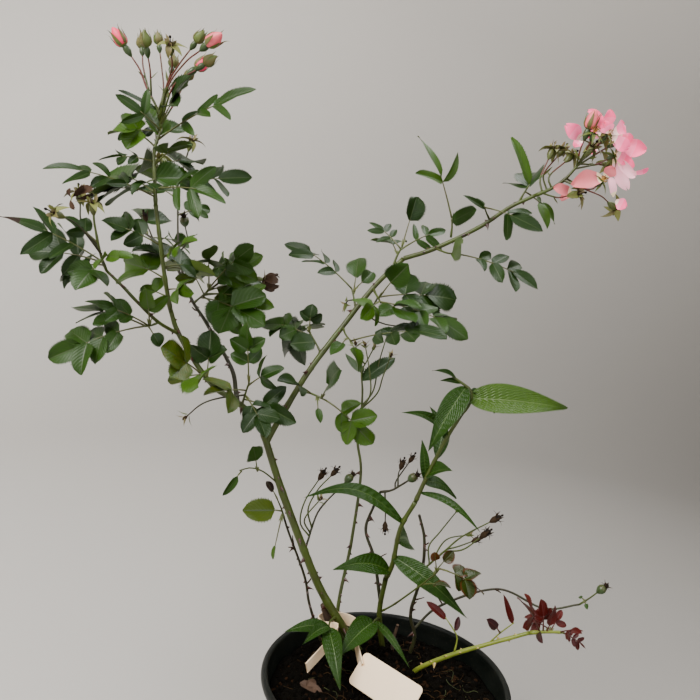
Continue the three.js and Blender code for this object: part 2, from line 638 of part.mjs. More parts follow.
    leaves: [
      leaf(0.9, -103, 396, -4, 1, { broad: 0.5 }), leaf(1, -129, 427, 6, 2, { broad: 0.6 }),
      leaf(0.5, -107, 344, -10, 2, { broad: 0.62 }), leaf(0.7, -155, 370, -20, 1, { broad: 0.5 }),
      leaf(0.3, -87, 357, 8, 1, { broad: 0.5 }),
    ] },
  { name: "bough_low_leaves", girth: [1, 0.7],
    stem: [[-88, 383, 37.5], [-77, 381, 28], [-66, 377, 21]],
    leaves: [
      leaf(1, -27, 345, 8, 2, { broad: 0.62, face: 1.2 }),
      leaf(0.7, -70, 359, 10, 0, { broad: 0.4, stalk: 0.5 }),
      leaf(0.85, -60, 396, -14, 0, { broad: 0.8, face: 1.3, stalk: 0.45 }),
      leaf(0.5, -101, 389, 4, 1, { broad: 0.5 }),
    ] },
  { name: "bough_left_leaves", girth: [0.9, 0.6], fill: 1,
    stem: [[-73, 412, 43.5], [-78, 420, 51], [-83, 427, 58]],
    leaves: [
      leaf(0.7, -118, 431, 66, 2, { broad: 0.8 }), leaf(1, -83, 446, 58, 1, { broad: 0.8, face: 1.3 }),
      leaf(0.86, -102, 408, 88, 1, { broad: 0.8, face: 1.35 }),
      leaf(0.5, -95, 412, 44, 0, { broad: 0.8, face: 1.35 }),
    ] },
  { name: "bough_front_leaves", girth: [0.9, 0.6],
    stem: [[-59, 433, 52], [-56, 427, 42], [-52, 423, 34]],
    leaves: [
      leaf(0.9, -42, 401, 20, 0, { broad: 0.7, face: 1.2, stalk: 0.3 }),
      leaf(0.75, -64, 410, 14, 0, { broad: 0.5, stalk: 0.4 }), leaf(1, 17, 434, 2, 3, { broad: 0.5 }),
    ] },
  { name: "bough_upper_leaves", girth: [0.9, 0.6],
    stem: [[-51, 448, 56.5], [-53, 455, 63], [-55, 461, 68]],
    twigs: [twig(0.4, "speck", [-57, 452, 76], [-58, 450, 80])],
    leaves: [
      leaf(1, -104, 491, 84, 3, { broad: 0.38 }),
      leaf(0.82, -39, 473, 92, 0, { broad: 0.5, stalk: 0.4 }),
      leaf(0.66, -52, 481, 110, 0, { broad: 0.5, stalk: 0.4 }),
    ] },
  { name: "bough_middle_leaves", girth: [1.1, 0.7],
    stem: [[-40, 463, 60], [-36, 457, 50], [-33, 453, 41]],
    twigs: [twig(0.6, "speck", [-40, 443, 50], [-30, 438, 56], [-18, 437, 60])],
    leaves: [
      leaf(0.95, 35, 434, 24, 3, { broad: 0.46 }),
      leaf(0.7, -17, 480, 26, 0, { broad: 0.8, face: 1.3, stalk: 0.42 }),
      leaf(1, -8, 441, 4, 1, { broad: 0.6 }), leaf(0.9, -46, 439, 16, 1),
      leaf(0.6, 23, 458, 74, 2, { broad: 0.7 }),
    ] },
  { name: "bough_top_leaves", girth: [1, 0.7],
    stem: [[-27, 479, 61.5], [-25, 487, 67], [-22, 494, 72]],
    leaves: [
      leaf(0.9, -47, 510, 88, 2, { broad: 0.34 }),
      leaf(1, -15, 528, 84, 0, { broad: 0.85, face: 1.3, stalk: 0.5 }),
      leaf(0.85, 9, 509, 96, 2, { broad: 0.3 }), leaf(0.6, -35, 501, 104, 1, { broad: 0.34 }),
    ] },
  { name: "arch_upper_leaves", girth: [0.9, 0.6],
    stem: [[12, 504, 56.5], [12, 512, 56], [11, 518, 54]],
    leaves: [leaf(1, -13, 572, 48, 1, { broad: 0.26 }), leaf(0.8, 30, 522, 88, 0, { broad: 0.26 })] },
  { name: "arch_lower_leaves", girth: [0.9, 0.6],
    stem: [[2, 495.5, 59.5], [10, 493, 51], [17, 493, 44]],
    leaves: [leaf(1, 81, 474, 34, 3, { broad: 0.42 }), leaf(0.8, 22, 497, 20, 0, { broad: 0.5 })] },
  { name: "arch_side_leaves", girth: [0.8, 0.5],
    stem: [[38, 519, 50], [35, 524, 43], [33, 528, 36]],
    leaves: [
      leaf(0.8, 20, 531, 20, 0, { broad: 0.2 }), leaf(0.92, 77, 513, 20, 1, { broad: 0.4 }),
      leaf(1, 27, 533, 52, 0, { broad: 0.2 }),
    ] },
  { name: "arch_end_leaves", girth: [0.9, 0.6],
    stem: [[57, 533, 44.5], [60, 540, 51], [63, 546, 57]],
    leaves: [
      leaf(1, 48, 579, 62, 0, { broad: 0.22 }), leaf(0.8, 43, 546, 76, 0, { broad: 0.22 }),
      leaf(0.6, 88, 519, 70, 1, { broad: 0.34 }), leaf(0.9, 70, 557, 84, 0),
    ] },
  { name: "flower_cluster", girth: [1.4, 0.9], end: "dead", colour: LEAVES.bloom,
    stem: [[68, 539, 42], [79, 545, 40], [89, 554, 38], [99, 569, 36]],
    twigs: [
      twig(0.12, "dead", [70, 551, 46], [74, 565, 50]), twig(0.2, "dead", [72, 554, 52], [80, 567, 58]),
      twig(0.28, "dead", [76, 553, 42], [86, 564, 46]), twig(0.8, "bud", [95, 572, 30], [97, 580, 28]),
      twig(0.85, "bloom", [100, 575, 28], [103, 585, 22]),
      twig(0.9, "bloom", [105, 574, 34], [112, 585, 30]),
      twig(0.8, "bloom", [109, 573, 36], [119, 580, 32]),
      twig(0.75, "bloom", [109, 565, 44], [119, 571, 48]),
      twig(0.5, "bloom", [97, 548, 32], [107, 547, 34], [113, 553, 36]),
      twig(0.55, "dead", [101, 547, 46], [114, 543, 52], [120, 539, 56]),
      twig(0.95, "dead", [103, 574, 48], [108, 579, 54]),
      twig(0.85, "dead", [106, 564, 56], [112, 565, 64]),
      twig(0.1, "dead", [84, 539, 40], [91, 541, 34]),
    ],
    leaves: [] },
  { name: "thin_cane_tips", girth: [1.1, 0.5], end: "speck",
    stem: [[-39, 368, 114], [-40, 387, 118], [-42, 401, 121], [-39, 409, 123], [-35, 419, 126]],
    twigs: [
      twig(0.1, "speck", [-34, 385, 108], [-36, 401, 110], [-41, 420, 116]),
      twig(0.14, "speck", [-32, 388, 126], [-30, 409, 134], [-26, 430, 138]),
      twig(0.1, "speck", [-29, 386, 112], [-26, 399, 104], [-22, 414, 100]),
      twig(0.75, "speck", [-46, 412, 118], [-48, 420, 114]),
    ],
    leaves: [leaf(0.5, -18, 412, 146, 0, { broad: 0.3 }), leaf(0.6, -56, 414, 142, 0, { broad: 0.3 })] },
  { name: "left_side_leaves", girth: [0.9, 0.5], colour: 0x8a8444,
    stem: [[-89, 282, 48], [-92, 290, 46], [-96, 298, 43]],
    leaves: [
      leaf(0.4, -121, 283, 34, 0, { broad: 0.6, face: 1.1, stalk: 0.2 }),
      leaf(1, -104, 309, 36, 0, { broad: 0.5, stalk: 0.4 }),
      leaf(0.3, -96, 247, 32, 0, { broad: 0.36, stalk: 0.7 }),
    ] },
  { name: "cane_leaf", girth: [0.7, 0.5],
    stem: [[-95, 309, 36], [-108, 318, 28], [-118, 320, 24], [-126, 317, 21]],
    leaves: [
      leaf(0.95, -136, 294, 18, 0, { broad: 0.3, stalk: 0.25 }),
      leaf(0.62, -117, 335, 14, 0, { broad: 0.85, face: 1.2, stalk: 0.4 }),
    ] },
  { name: "seed_head_twigs", girth: [1, 0.6], end: "hip", colour: LEAVES.seed,
    stem: [[-72, 259, 41.5], [-70, 267, 50], [-67, 282, 57], [-62, 295, 62], [-46, 316, 72]],
    twigs: [
      twig(0.2, "dead", [-77, 281, 56], [-75, 298, 60], [-66, 316, 64]),
      twig(0.3, "dead", [-72, 292, 48], [-66, 308, 46], [-57, 320, 46]),
      twig(0.24, "speck", [-74, 284, 40], [-64, 300, 34]),
    ],
    leaves: [] },
  { name: "thorny_stem_tips", girth: [1.1, 0.7], end: "hip", colour: LEAVES.seed,
    stem: [[-19, 311, 58], [-11, 313, 55], [-4, 318, 52], [1, 322, 50]],
    twigs: [
      twig(0.6, "dead", [-7, 326, 60], [-6, 330, 62]),
      twig(0.15, "dead", [-14, 300, 52], [-13, 288, 50]), twig(0.5, "dead", [-8, 321, 64], [0, 336, 68]),
    ],
    leaves: [] },
  { name: "lance_low_leaves", girth: [2.1, 1.8], colour: LEAVES.lance,
    stem: [[-8, 243, 51], [-4, 255, 48], [-1, 284, 42], [8, 306, 36]],
    leaves: [
      blade(0.7, -77, 301, 20, 0.13, { arch: 0.2 }), blade(0.1, -48, 247, 20, 0.28, { arch: 0.1 }),
      blade(0.28, 59, 217, 14, 0.21, { arch: 0.05 }), blade(0.5, 10, 268, 116, 0.28),
    ] },
  { name: "lance_middle_leaves", girth: [1.8, 1.4], colour: LEAVES.lance,
    stem: [[8, 306, 36], [13, 322, 32], [20, 342, 26], [27, 360, 22], [35, 377, 18]],
    leaves: [
      blade(0.75, -9, 375, 8, 0.16, { arch: 0.12 }), blade(0.7, 10, 382, 46, 0.16),
      blade(0.3, 33, 333, 4, 0.4), blade(0.22, 39, 311, 50, 0.28, { arch: 0.14 }),
      blade(0.1, 61, 286, 14, 0.12, { arch: 0.14 }), blade(0.5, 25, 368, 70, 0.24),
      blade(0.25, 8, 355, 32, 0.22),
    ] },
  { name: "lance_top_leaves", girth: [1.4, 0.9], colour: LEAVES.lance,
    stem: [[35, 377, 18], [40, 386, 17], [39, 395, 16], [25, 404, 15]],
    leaves: [
      blade(0.35, 113, 389, 6, 0.32, { arch: 0.02 }), blade(0.65, 13, 345, 0, 0.3, { arch: 0.06 }),
      blade(0.95, 9, 408, 12, 0.26), blade(0.8, 15, 400, 18, 0.26), blade(0.5, 60, 380, 54, 0.2),
    ] },
  { name: "glossy_leaves", girth: [0.9, 0.6],
    stem: [[-8.5, 216, 55], [1, 223, 42], [17, 238, 26], [29, 250, 16], [32, 255, 13]],
    leaves: [
      leaf(1, 71, 238, 6, 2, { broad: 0.8, face: 1.15 }),
      leaf(0.95, 27, 266, 8, 0, { broad: 0.8, face: 1.1, stalk: 0.55 }),
      leaf(0.9, 41, 269, 22, 0, { broad: 0.8, face: 1.2, stalk: 0.5 }),
      leaf(0.7, 41, 241, 6, 0, { broad: 0.7, stalk: 0.45 }),
    ] },
  { name: "seed_head_sprays", girth: [0.9, 0.5], end: "dead", colour: LEAVES.seed,
    stem: [[19, 252, 45.5], [34, 269, 40], [46, 282, 36], [66, 296, 30]],
    twigs: [
      twig(0.4, "dead", [44, 274, 46], [54, 279, 50]), twig(0.36, "dead", [48, 272, 32], [60, 283, 28]),
      twig(0.12, "speck", [22, 272, 54], [29, 284, 58], [40, 302, 62]),
      twig(0.15, "speck", [34, 278, 62], [50, 284, 70]),
    ],
    leaves: [] },
  { name: "low_right_tip", girth: [0.8, 0.6], end: "hip", colour: LEAVES.seed,
    stem: [[142, 237, 46], [149, 243, 45], [154, 248, 44]],
    leaves: [
      leaf(0.3, 140, 244, 54, 0, { broad: 0.5, stalk: 0.4 }),
      leaf(0.25, 149, 234, 36, 0, { broad: 0.5, stalk: 0.4 }),
    ] },
  { name: "red_leaves", girth: [1.5, 1], colour: LEAVES.red,
    stem: [[107, 210, 8], [119, 212, 6], [133, 213, 5]],
    leaves: [
      leaf(0.3, 98, 236, -4, 1, { broad: 0.5 }), leaf(0.4, 114, 236, 6, 1, { broad: 0.5 }),
      leaf(0.5, 126, 230, -2, 0, { broad: 0.42, stalk: 0.25 }),
      leaf(0.6, 130, 230, 16, 1, { broad: 0.46 }), leaf(0.95, 153, 201, 0, 3, { broad: 0.45 }),
      leaf(0.9, 145, 215, -12, 1, { broad: 0.42 }), leaf(0.25, 116, 202, -8, 0, { broad: 0.3 }),
      leaf(0.7, 99, 222, 30, 1, { broad: 0.5 }),
    ] },
  { name: "red_side_leaves", girth: [0.7, 0.4], colour: LEAVES.red,
    stem: [[76, 197, 13.5], [84, 207, 12], [94, 217, 11]],
    leaves: [
      leaf(0.95, 86, 237, 8, 0, { broad: 0.18 }), leaf(0.5, 75, 217, 2, 0, { broad: 0.42, stalk: 0.3 }),
    ] },
  { name: "red_low_leaves", girth: [0.7, 0.4], colour: LEAVES.red,
    stem: [[51, 187, 19.5], [52, 200, 22], [48, 207, 23], [41, 216, 26]],
    leaves: [leaf(0.95, 26, 226, 22, 0, { broad: 0.26 }), leaf(0.6, 54, 217, 32, 0, { broad: 0.32 })] },
  { name: "base_leaves", girth: [1, 0.7], colour: LEAVES.lance,
    stem: [[-43, 208, 45], [-47, 204, 34], [-48, 198, 24]],
    leaves: [blade(0.95, -83, 192, 14, 0.26), blade(0.9, -67, 184, 0, 0.3), blade(1, -34, 147, -16, 0.3)] },
  { name: "foot_leaf", girth: [0.9, 0.7], colour: LEAVES.lance,
    stem: [[-9.5, 210, 56], [-12, 209, 47], [-14, 206, 39]],
    leaves: [blade(0.95, -38, 175, 8, 0.42), blade(0.8, 18, 172, 6, 0.12)] },
];

// One shape as a solid, grown by a clearance
function shapeSolid(shape, grow) {
  if (shape.kind === "leaf") return leafBlade(shape, grow);
  if (shape.kind === "leaflet") return leaflet(shape, grow);
  if (shape.kind === "lance") return lance(shape, grow);
  if (shape.kind === "bloom") return bloomStar(shape, grow);
  return stick(shape, grow);
}

// Leaves that point mostly away from the front or towards it, so that the crown is full all round
function fillLeaf(stem, roll) {
  const at = 0.25 + 0.7 * roll();
  const depth = roll() < 0.7 ? 1 : -1;
  const aim = new Vector3(vary(roll, 0.6), depth, 0.15 + vary(roll, 0.35)).normalize();
  const reach = FILL.near + (FILL.far - FILL.near) * roll();
  return { at, end: stem.getPointAt(at).addScaledVector(aim, reach), pairs: roll() < 0.5 ? 2 : 1 };
}

// The groups of shapes that stand or fall together: a twig with its end, or a leaf
function massGroups({ twigs = [], leaves, fill = 0 }, stem, roll) {
  const groups = twigs.map(({ at, end, way }) => {
    const curve = curveOf([axisPoint(stem, at, STEM.step), ...way.map(seen)]);
    const bloom = { kind: "bloom", root: curve.getPointAt(1), along: curve.getTangentAt(1) };
    const shape = { kind: "stick", curve, ...TWIG, head: HEADS[end] };
    return end === "bloom" ? [shape, bloom] : [shape];
  });
  const extra = Array.from({ length: fill }, () => fillLeaf(stem, roll));
  for (const row of [...leaves, ...extra]) {
    const base = axisPoint(stem, row.at, STEM.step);
    const aimed = { ...row, end: row.end ?? seen(row.tip) };
    groups.push([row.simple ? lanceShape(base, aimed, roll) : leafShape(base, aimed, roll)]);
  }
  return groups;
}

function makeMass(mass, order) {
  const curve = curveOf(mass.stem.map(seen));
  const [base, tip] = mass.girth;
  const stem = { curve, base, tip, ...STEM, head: HEADS[mass.end] };
  let solid = stick(stem);
  let grown = stick(stem, CLEAR);
  for (const shapes of massGroups(mass, curve, dice(order))) {
    if (shapes.some((shape) => touches(shapeSolid(shape, 0)))) continue;
    for (const shape of shapes) {
      solid = solid.add(shapeSolid(shape, 0));
      grown = grown.add(shapeSolid(shape, CLEAR));
    }
  }
  addNode(mass.name, place(cutClear(solid), grown), mass.colour ?? LEAVES.rose);
}

makePot();
makeSoil();
makeTag();
LIMBS.forEach((limb, i) => makeLimb(limb, i + 1));
MASSES.forEach((mass, i) => makeMass(mass, i + 101));

export default group;
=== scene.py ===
"""Looks of a rose bush in its nursery pot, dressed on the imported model.

Growth is worked out in millimetres by the same rule as the solids and carried on
to single leaflets, sepals, petals and thorns. Meshes are made in metres.
"""

import math
from bisect import bisect_right

import bpy
from mathutils import Matrix, Quaternion, Vector, noise


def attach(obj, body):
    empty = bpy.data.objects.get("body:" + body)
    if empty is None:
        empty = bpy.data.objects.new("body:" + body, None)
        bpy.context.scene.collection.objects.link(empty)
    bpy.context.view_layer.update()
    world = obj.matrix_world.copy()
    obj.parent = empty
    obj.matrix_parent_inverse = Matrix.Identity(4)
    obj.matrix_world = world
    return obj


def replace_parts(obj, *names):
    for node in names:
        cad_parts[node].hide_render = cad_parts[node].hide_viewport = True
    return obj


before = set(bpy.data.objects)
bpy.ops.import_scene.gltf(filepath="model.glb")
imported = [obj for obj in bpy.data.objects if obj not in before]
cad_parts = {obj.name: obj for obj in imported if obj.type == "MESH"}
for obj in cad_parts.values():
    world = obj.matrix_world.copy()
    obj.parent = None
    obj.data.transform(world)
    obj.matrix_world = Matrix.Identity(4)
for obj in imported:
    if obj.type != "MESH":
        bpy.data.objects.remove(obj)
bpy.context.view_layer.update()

MM = 0.001
UP = Vector((0, 0, 1))
EYE = Vector((-52, -531.5, 493.8))
PITCH, ROLL, FOCAL, SENSOR = 8.3, 5.5, 734 / 700, 36
LOOKED_AT = Vector((0, 0.05, 0.38))

POT = dict(height=165, rim=97, foot=73, wall=1.6, lip=7, skirt=15, sides=120)
SOIL = dict(drop=14, mound=7, spread=34, crown=(-12, 52), lumps=1.4)
CLODS = dict(broad=0.11, rise=1.6, fine=0.33, ripple=0.8, under=2.6)
BED = dict(x=-16, y=20, cos=0.77, sin=0.63, shift=14, near=-12, far=68, half=22, deep=4.5, edge=3)
DRAIN = dict(count=6, radius=5, ring=58)
CANE = dict(sides=16, step=2.4, rough=0.045, old=0.1, joint=26)
STEM = dict(sides=9, step=22)
TWIG = dict(sides=7, step=3.0, girth=(0.8, 0.5))
LEAF = dict(
    bow=0.12, width=0.48, spread=1.02, face=0.75,
    share=(0.56, 0.43, 0.36), spacing=(0, 0.26, 0.2, 0.165), gap=0.05,
)
LANCE = dict(sink=1, sag=0.07)
THORN = dict(
    length=3.4, apart=13, sides=8, steps=(0, 0.18, 0.42, 0.7, 0.9, 1), bend=0.34, foot=2.3, point=0.05,
)
FILL = dict(near=44, far=62)
WIDER, WIDEST = 1.06, 1.14
WHORL = 2.4


# Growth rule


def seen(across, up, depth):
    """A point on the upright plane through the pot's axis, pushed back along the line of sight."""
    return EYE + (Vector((across, 0, up)) - EYE) * (1 - depth / EYE.y)


def dice(seed):
    """A small repeatable source of numbers between 0 and 1."""
    state = seed * 7919 + 1

    def roll():
        nonlocal state
        state = state * 16807 % 2147483647
        return state / 2147483647

    return roll


def vary(roll, reach):
    return (roll() - 0.5) * 2 * reach


def about(roll, middle, reach):
    return middle + vary(roll, reach)


class Route:
    """A smooth line through points, walked by the share of its length."""

    def __init__(self, points, marks=200):
        self.points = [points[0] * 2 - points[1], *points, points[-1] * 2 - points[-2]]
        spots = [self.spot(k / marks) for k in range(marks + 1)]
        self.marks = marks
        self.run = [0.0]
        for a, b in zip(spots, spots[1:]):
            self.run.append(self.run[-1] + (b - a).length)
        self.length = self.run[-1]

    def spot(self, t):
        spans = len(self.points) - 3
        k = min(int(t * spans), spans - 1)
        w = t * spans - k
        p0, p1, p2, p3 = self.points[k : k + 4]
        m1, m2 = (p2 - p0) / 2, (p3 - p1) / 2
        return (
            p1 * (2 * w**3 - 3 * w**2 + 1)
            + m1 * (w**3 - 2 * w**2 + w)
            + p2 * (3 * w**2 - 2 * w**3)
            + m2 * (w**3 - w**2)
        )

    def mark(self, share):
        goal = share * self.length
        k = max(0, min(bisect_right(self.run, goal) - 1, self.marks - 1))
        return (k + (goal - self.run[k]) / (self.run[k + 1] - self.run[k])) / self.marks

    def at(self, share):
        return self.spot(self.mark(share))

    def forward(self, share):
        t = self.mark(share)
        return (self.spot(min(1, t + 1e-4)) - self.spot(max(0, t - 1e-4))).normalized()

    def on_axis(self, share, step):
        """The point that the solids' tube of straight lengths has there."""
        count = max(2, math.ceil(self.length / step))
        k = min(count - 1, math.floor(share * count))
        return self.at(k / count).lerp(self.at((k + 1) / count), share * count - k)


class Bow:
    """A leaf's midrib, arched up from its root to its tip."""

    def __init__(self, root, end):
        self.length = (end - root).length
        self.root, self.end = root, end
        self.middle = root.lerp(end, 0.5) + UP * LEAF["bow"] * self.length

    def at(self, t):
        return self.root * (1 - t) ** 2 + self.middle * 2 * t * (1 - t) + self.end * t * t

    def forward(self, t):
        return ((self.middle - self.root) * (1 - t) + (self.end - self.middle) * t).normalized()


def cross_of(direction):
    """Two unit directions square to this one, the first of them level."""
    level = UP.cross(direction)
    if level.length < 0.05:
        level = Vector((1, 0, 0))
    level.normalize()
    return level, direction.cross(level)


def square_to(direction, axis):
    """What is left of a direction when its part along an axis is taken off."""
    return (direction - axis * direction.dot(axis)).normalized()


def towards(first, second, angle):
    """A direction that has turned by an angle from the first towards the second."""
    return first * math.cos(angle) + second * math.sin(angle)


def spoke(along, angle):
    """A direction square to an axis, at an angle round it."""
    return towards(*cross_of(along), angle)


def compass(roll):
    """A level direction to any side."""
    return Quaternion(UP, roll() * 2 * math.pi) @ Vector((1, 0, 0))


def taper(girth, share):
    base, tip = girth
    return base + (tip - base) * share


def grow_leaf(base, end, pairs, roll, broad=LEAF["width"], face=LEAF["face"], stalk=0):
    """A compound leaf's midrib and its leaflets, from the tip down."""
    bow = Bow(base, end)
    share = (1 - stalk, *LEAF["share"])[pairs]
    last = 1 - share
    tilt = face + vary(roll, 0.5)

    def leaflet(part, turn, size):
        root, forward = bow.at(part), bow.forward(part)
        facing = square_to(Vector((vary(roll, 0.35), -math.sin(tilt), math.cos(tilt))), forward)
        along = Quaternion(facing, turn) @ forward
        along = (along + facing * (-0.12 + vary(roll, 0.16))).normalized()
        facing = square_to(facing, along)
        length = size * share * bow.length
        return dict(part=part, root=root, along=along, facing=facing, length=length, width=broad * length)

    found = [leaflet(last, vary(roll, 0.1), 1)]
    for pair in range(pairs):
        part = last - LEAF["gap"] - pair * LEAF["spacing"][pairs]
        size = 0.88 - 0.1 * pair + vary(roll, 0.06)
        found.append(leaflet(part, LEAF["spread"] + vary(roll, 0.15), size))
        found.append(leaflet(part, -LEAF["spread"] + vary(roll, 0.15), size))
    return bow, found


def grow_lance(base, end, roll, broad, arch):
    """A long leaf's blade, from the foot to the tip that its row gives."""
    along = (end - base).normalized()
    tilt = about(roll, LEAF["face"], 0.2)
    facing = square_to(Vector((0, -math.sin(tilt), math.cos(tilt))), along)
    length = (end - base).length
    return dict(root=base, along=along, facing=facing, length=length, width=broad * length, arch=arch)


def cane(name, girth, way, thorns=0, bark="green"):
    """A cane or side shoot: its girth at both ends and the points that it runs through."""
    return dict(name=name, girth=girth, way=way, thorns=thorns, bark=bark)


def spray(name, girth, stem, twigs=(), leaves=(), **more):
    """A stem with its twigs and leaves; more tells its kind, its end and leaves that fill the crown."""
    return dict(name=name, girth=girth, stem=stem, twigs=twigs, leaves=leaves, **more)


def leaf(at, across, up, depth, pairs, broad=None, **more):
    """A compound leaf: its foot's share of the stem, its tip's place and its pairs of leaflets."""
    form = dict(broad=broad, **more) if broad else more
    return dict(at=at, tip=(across, up, depth), pairs=pairs, **form)


def blade(at, across, up, depth, broad, arch=LANCE["sag"]):
    """A long single leaf."""
    return dict(at=at, tip=(across, up, depth), broad=broad, arch=arch)


def twig(at, end, *way):
    """A twig: its foot's share of the stem, what it carries and the points that it runs through."""
    return dict(at=at, end=end, way=way)


# Limbs: each starts on the soil or on the limb that carries it

LIMBS = [
    cane("main_cane", (3.7, 2.8), [
        (-21, 178, 48), (-37, 200, 47), (-57, 229, 44), (-75, 265, 40), (-94, 307, 36), (-110, 347, 32),
    ], thorns=8),
    cane("old_stub", (3.8, 3.3), [(-40, 178, 57), (-46, 197, 54), (-53, 217, 51)], bark="brown"),
    cane("left_bough", (2.7, 2.3), [
        (-110, 347, 32), (-116, 359, 30), (-125, 365, 27), (-134, 371, 25),
    ], thorns=2),
    cane("right_bough", (2.5, 1.9), [
        (-107, 342, 33), (-100, 358, 34), (-81, 397, 40), (-59, 433, 52), (-39, 464, 60), (-20, 486, 62),
    ], thorns=5),
    cane("right_bough_end", (1.9, 1.4), [
        (-20, 486, 62), (1, 495, 60), (31, 513, 52), (51, 529, 46), (68, 539, 42),
    ], thorns=4),
    cane("left_leader", (2.2, 1.7), [
        (-134, 371, 25), (-149, 379, 20), (-166, 398, 14), (-179, 418, 10), (-185, 433, 6),
    ], thorns=3),
    cane("second_leader", (1.8, 1.2), [
        (-131, 368.5, 26), (-133, 377, 31), (-138, 395, 40), (-159, 427, 66), (-170, 442, 76),
        (-184, 468, 92),
    ], thorns=3, bark="dark"),
    cane("left_side_shoot", (1.4, 1), [
        (-178, 416, 10), (-193, 423, -5), (-209, 436, -18), (-221, 447, -24), (-233, 457, -30),
    ], thorns=2),
    cane("thin_cane", (1.7, 1.1), [
        (-30, 180, 63), (-42, 210, 66), (-37, 270, 84), (-35, 323, 100), (-40, 349, 108), (-39, 368, 114),
    ], thorns=6),
    cane("left_side_stem", (1.3, 0.9), [
        (-50, 180, 65), (-64, 215, 60), (-70, 238, 56), (-85, 272, 50), (-89, 282, 48),
    ], thorns=3, bark="dark"),
    cane("lance_shoot", (2.5, 2.1), [(-3, 178, 62), (-10, 214, 56), (-8, 243, 51)]),
    cane("thorny_stem", (1.5, 1.1), [
        (-9.5, 220, 55), (-18, 257, 60), (-27, 280, 62), (-23, 299, 61), (-19, 311, 58),
    ], thorns=6, bark="dark"),
    cane("cross_stem", (1.7, 1.1), [
        (14, 172, 57), (19, 197, 54), (14, 217, 52), (19, 249, 46), (18, 277, 42), (12, 296, 40),
    ], thorns=4, bark="dark"),
    cane("low_right_shoot", (1.1, 0.8), [
        (17, 203, 54), (36, 225, 58), (78, 243, 58), (115, 231, 50), (142, 237, 46),
    ], bark="dark"),
    cane("lime_shoot", (2, 1.5), [
        (17, 163, 37), (27, 173, 28), (50, 186, 20), (73, 196, 14), (107, 210, 8),
    ], thorns=3, bark="young"),
    cane("brown_stub", (1.5, 1.2), [(3, 177, 58), (3, 192, 53), (5, 206, 49)], bark="brown"),
]


# Masses: each grows on from its limb as one stem with twigs and leaves

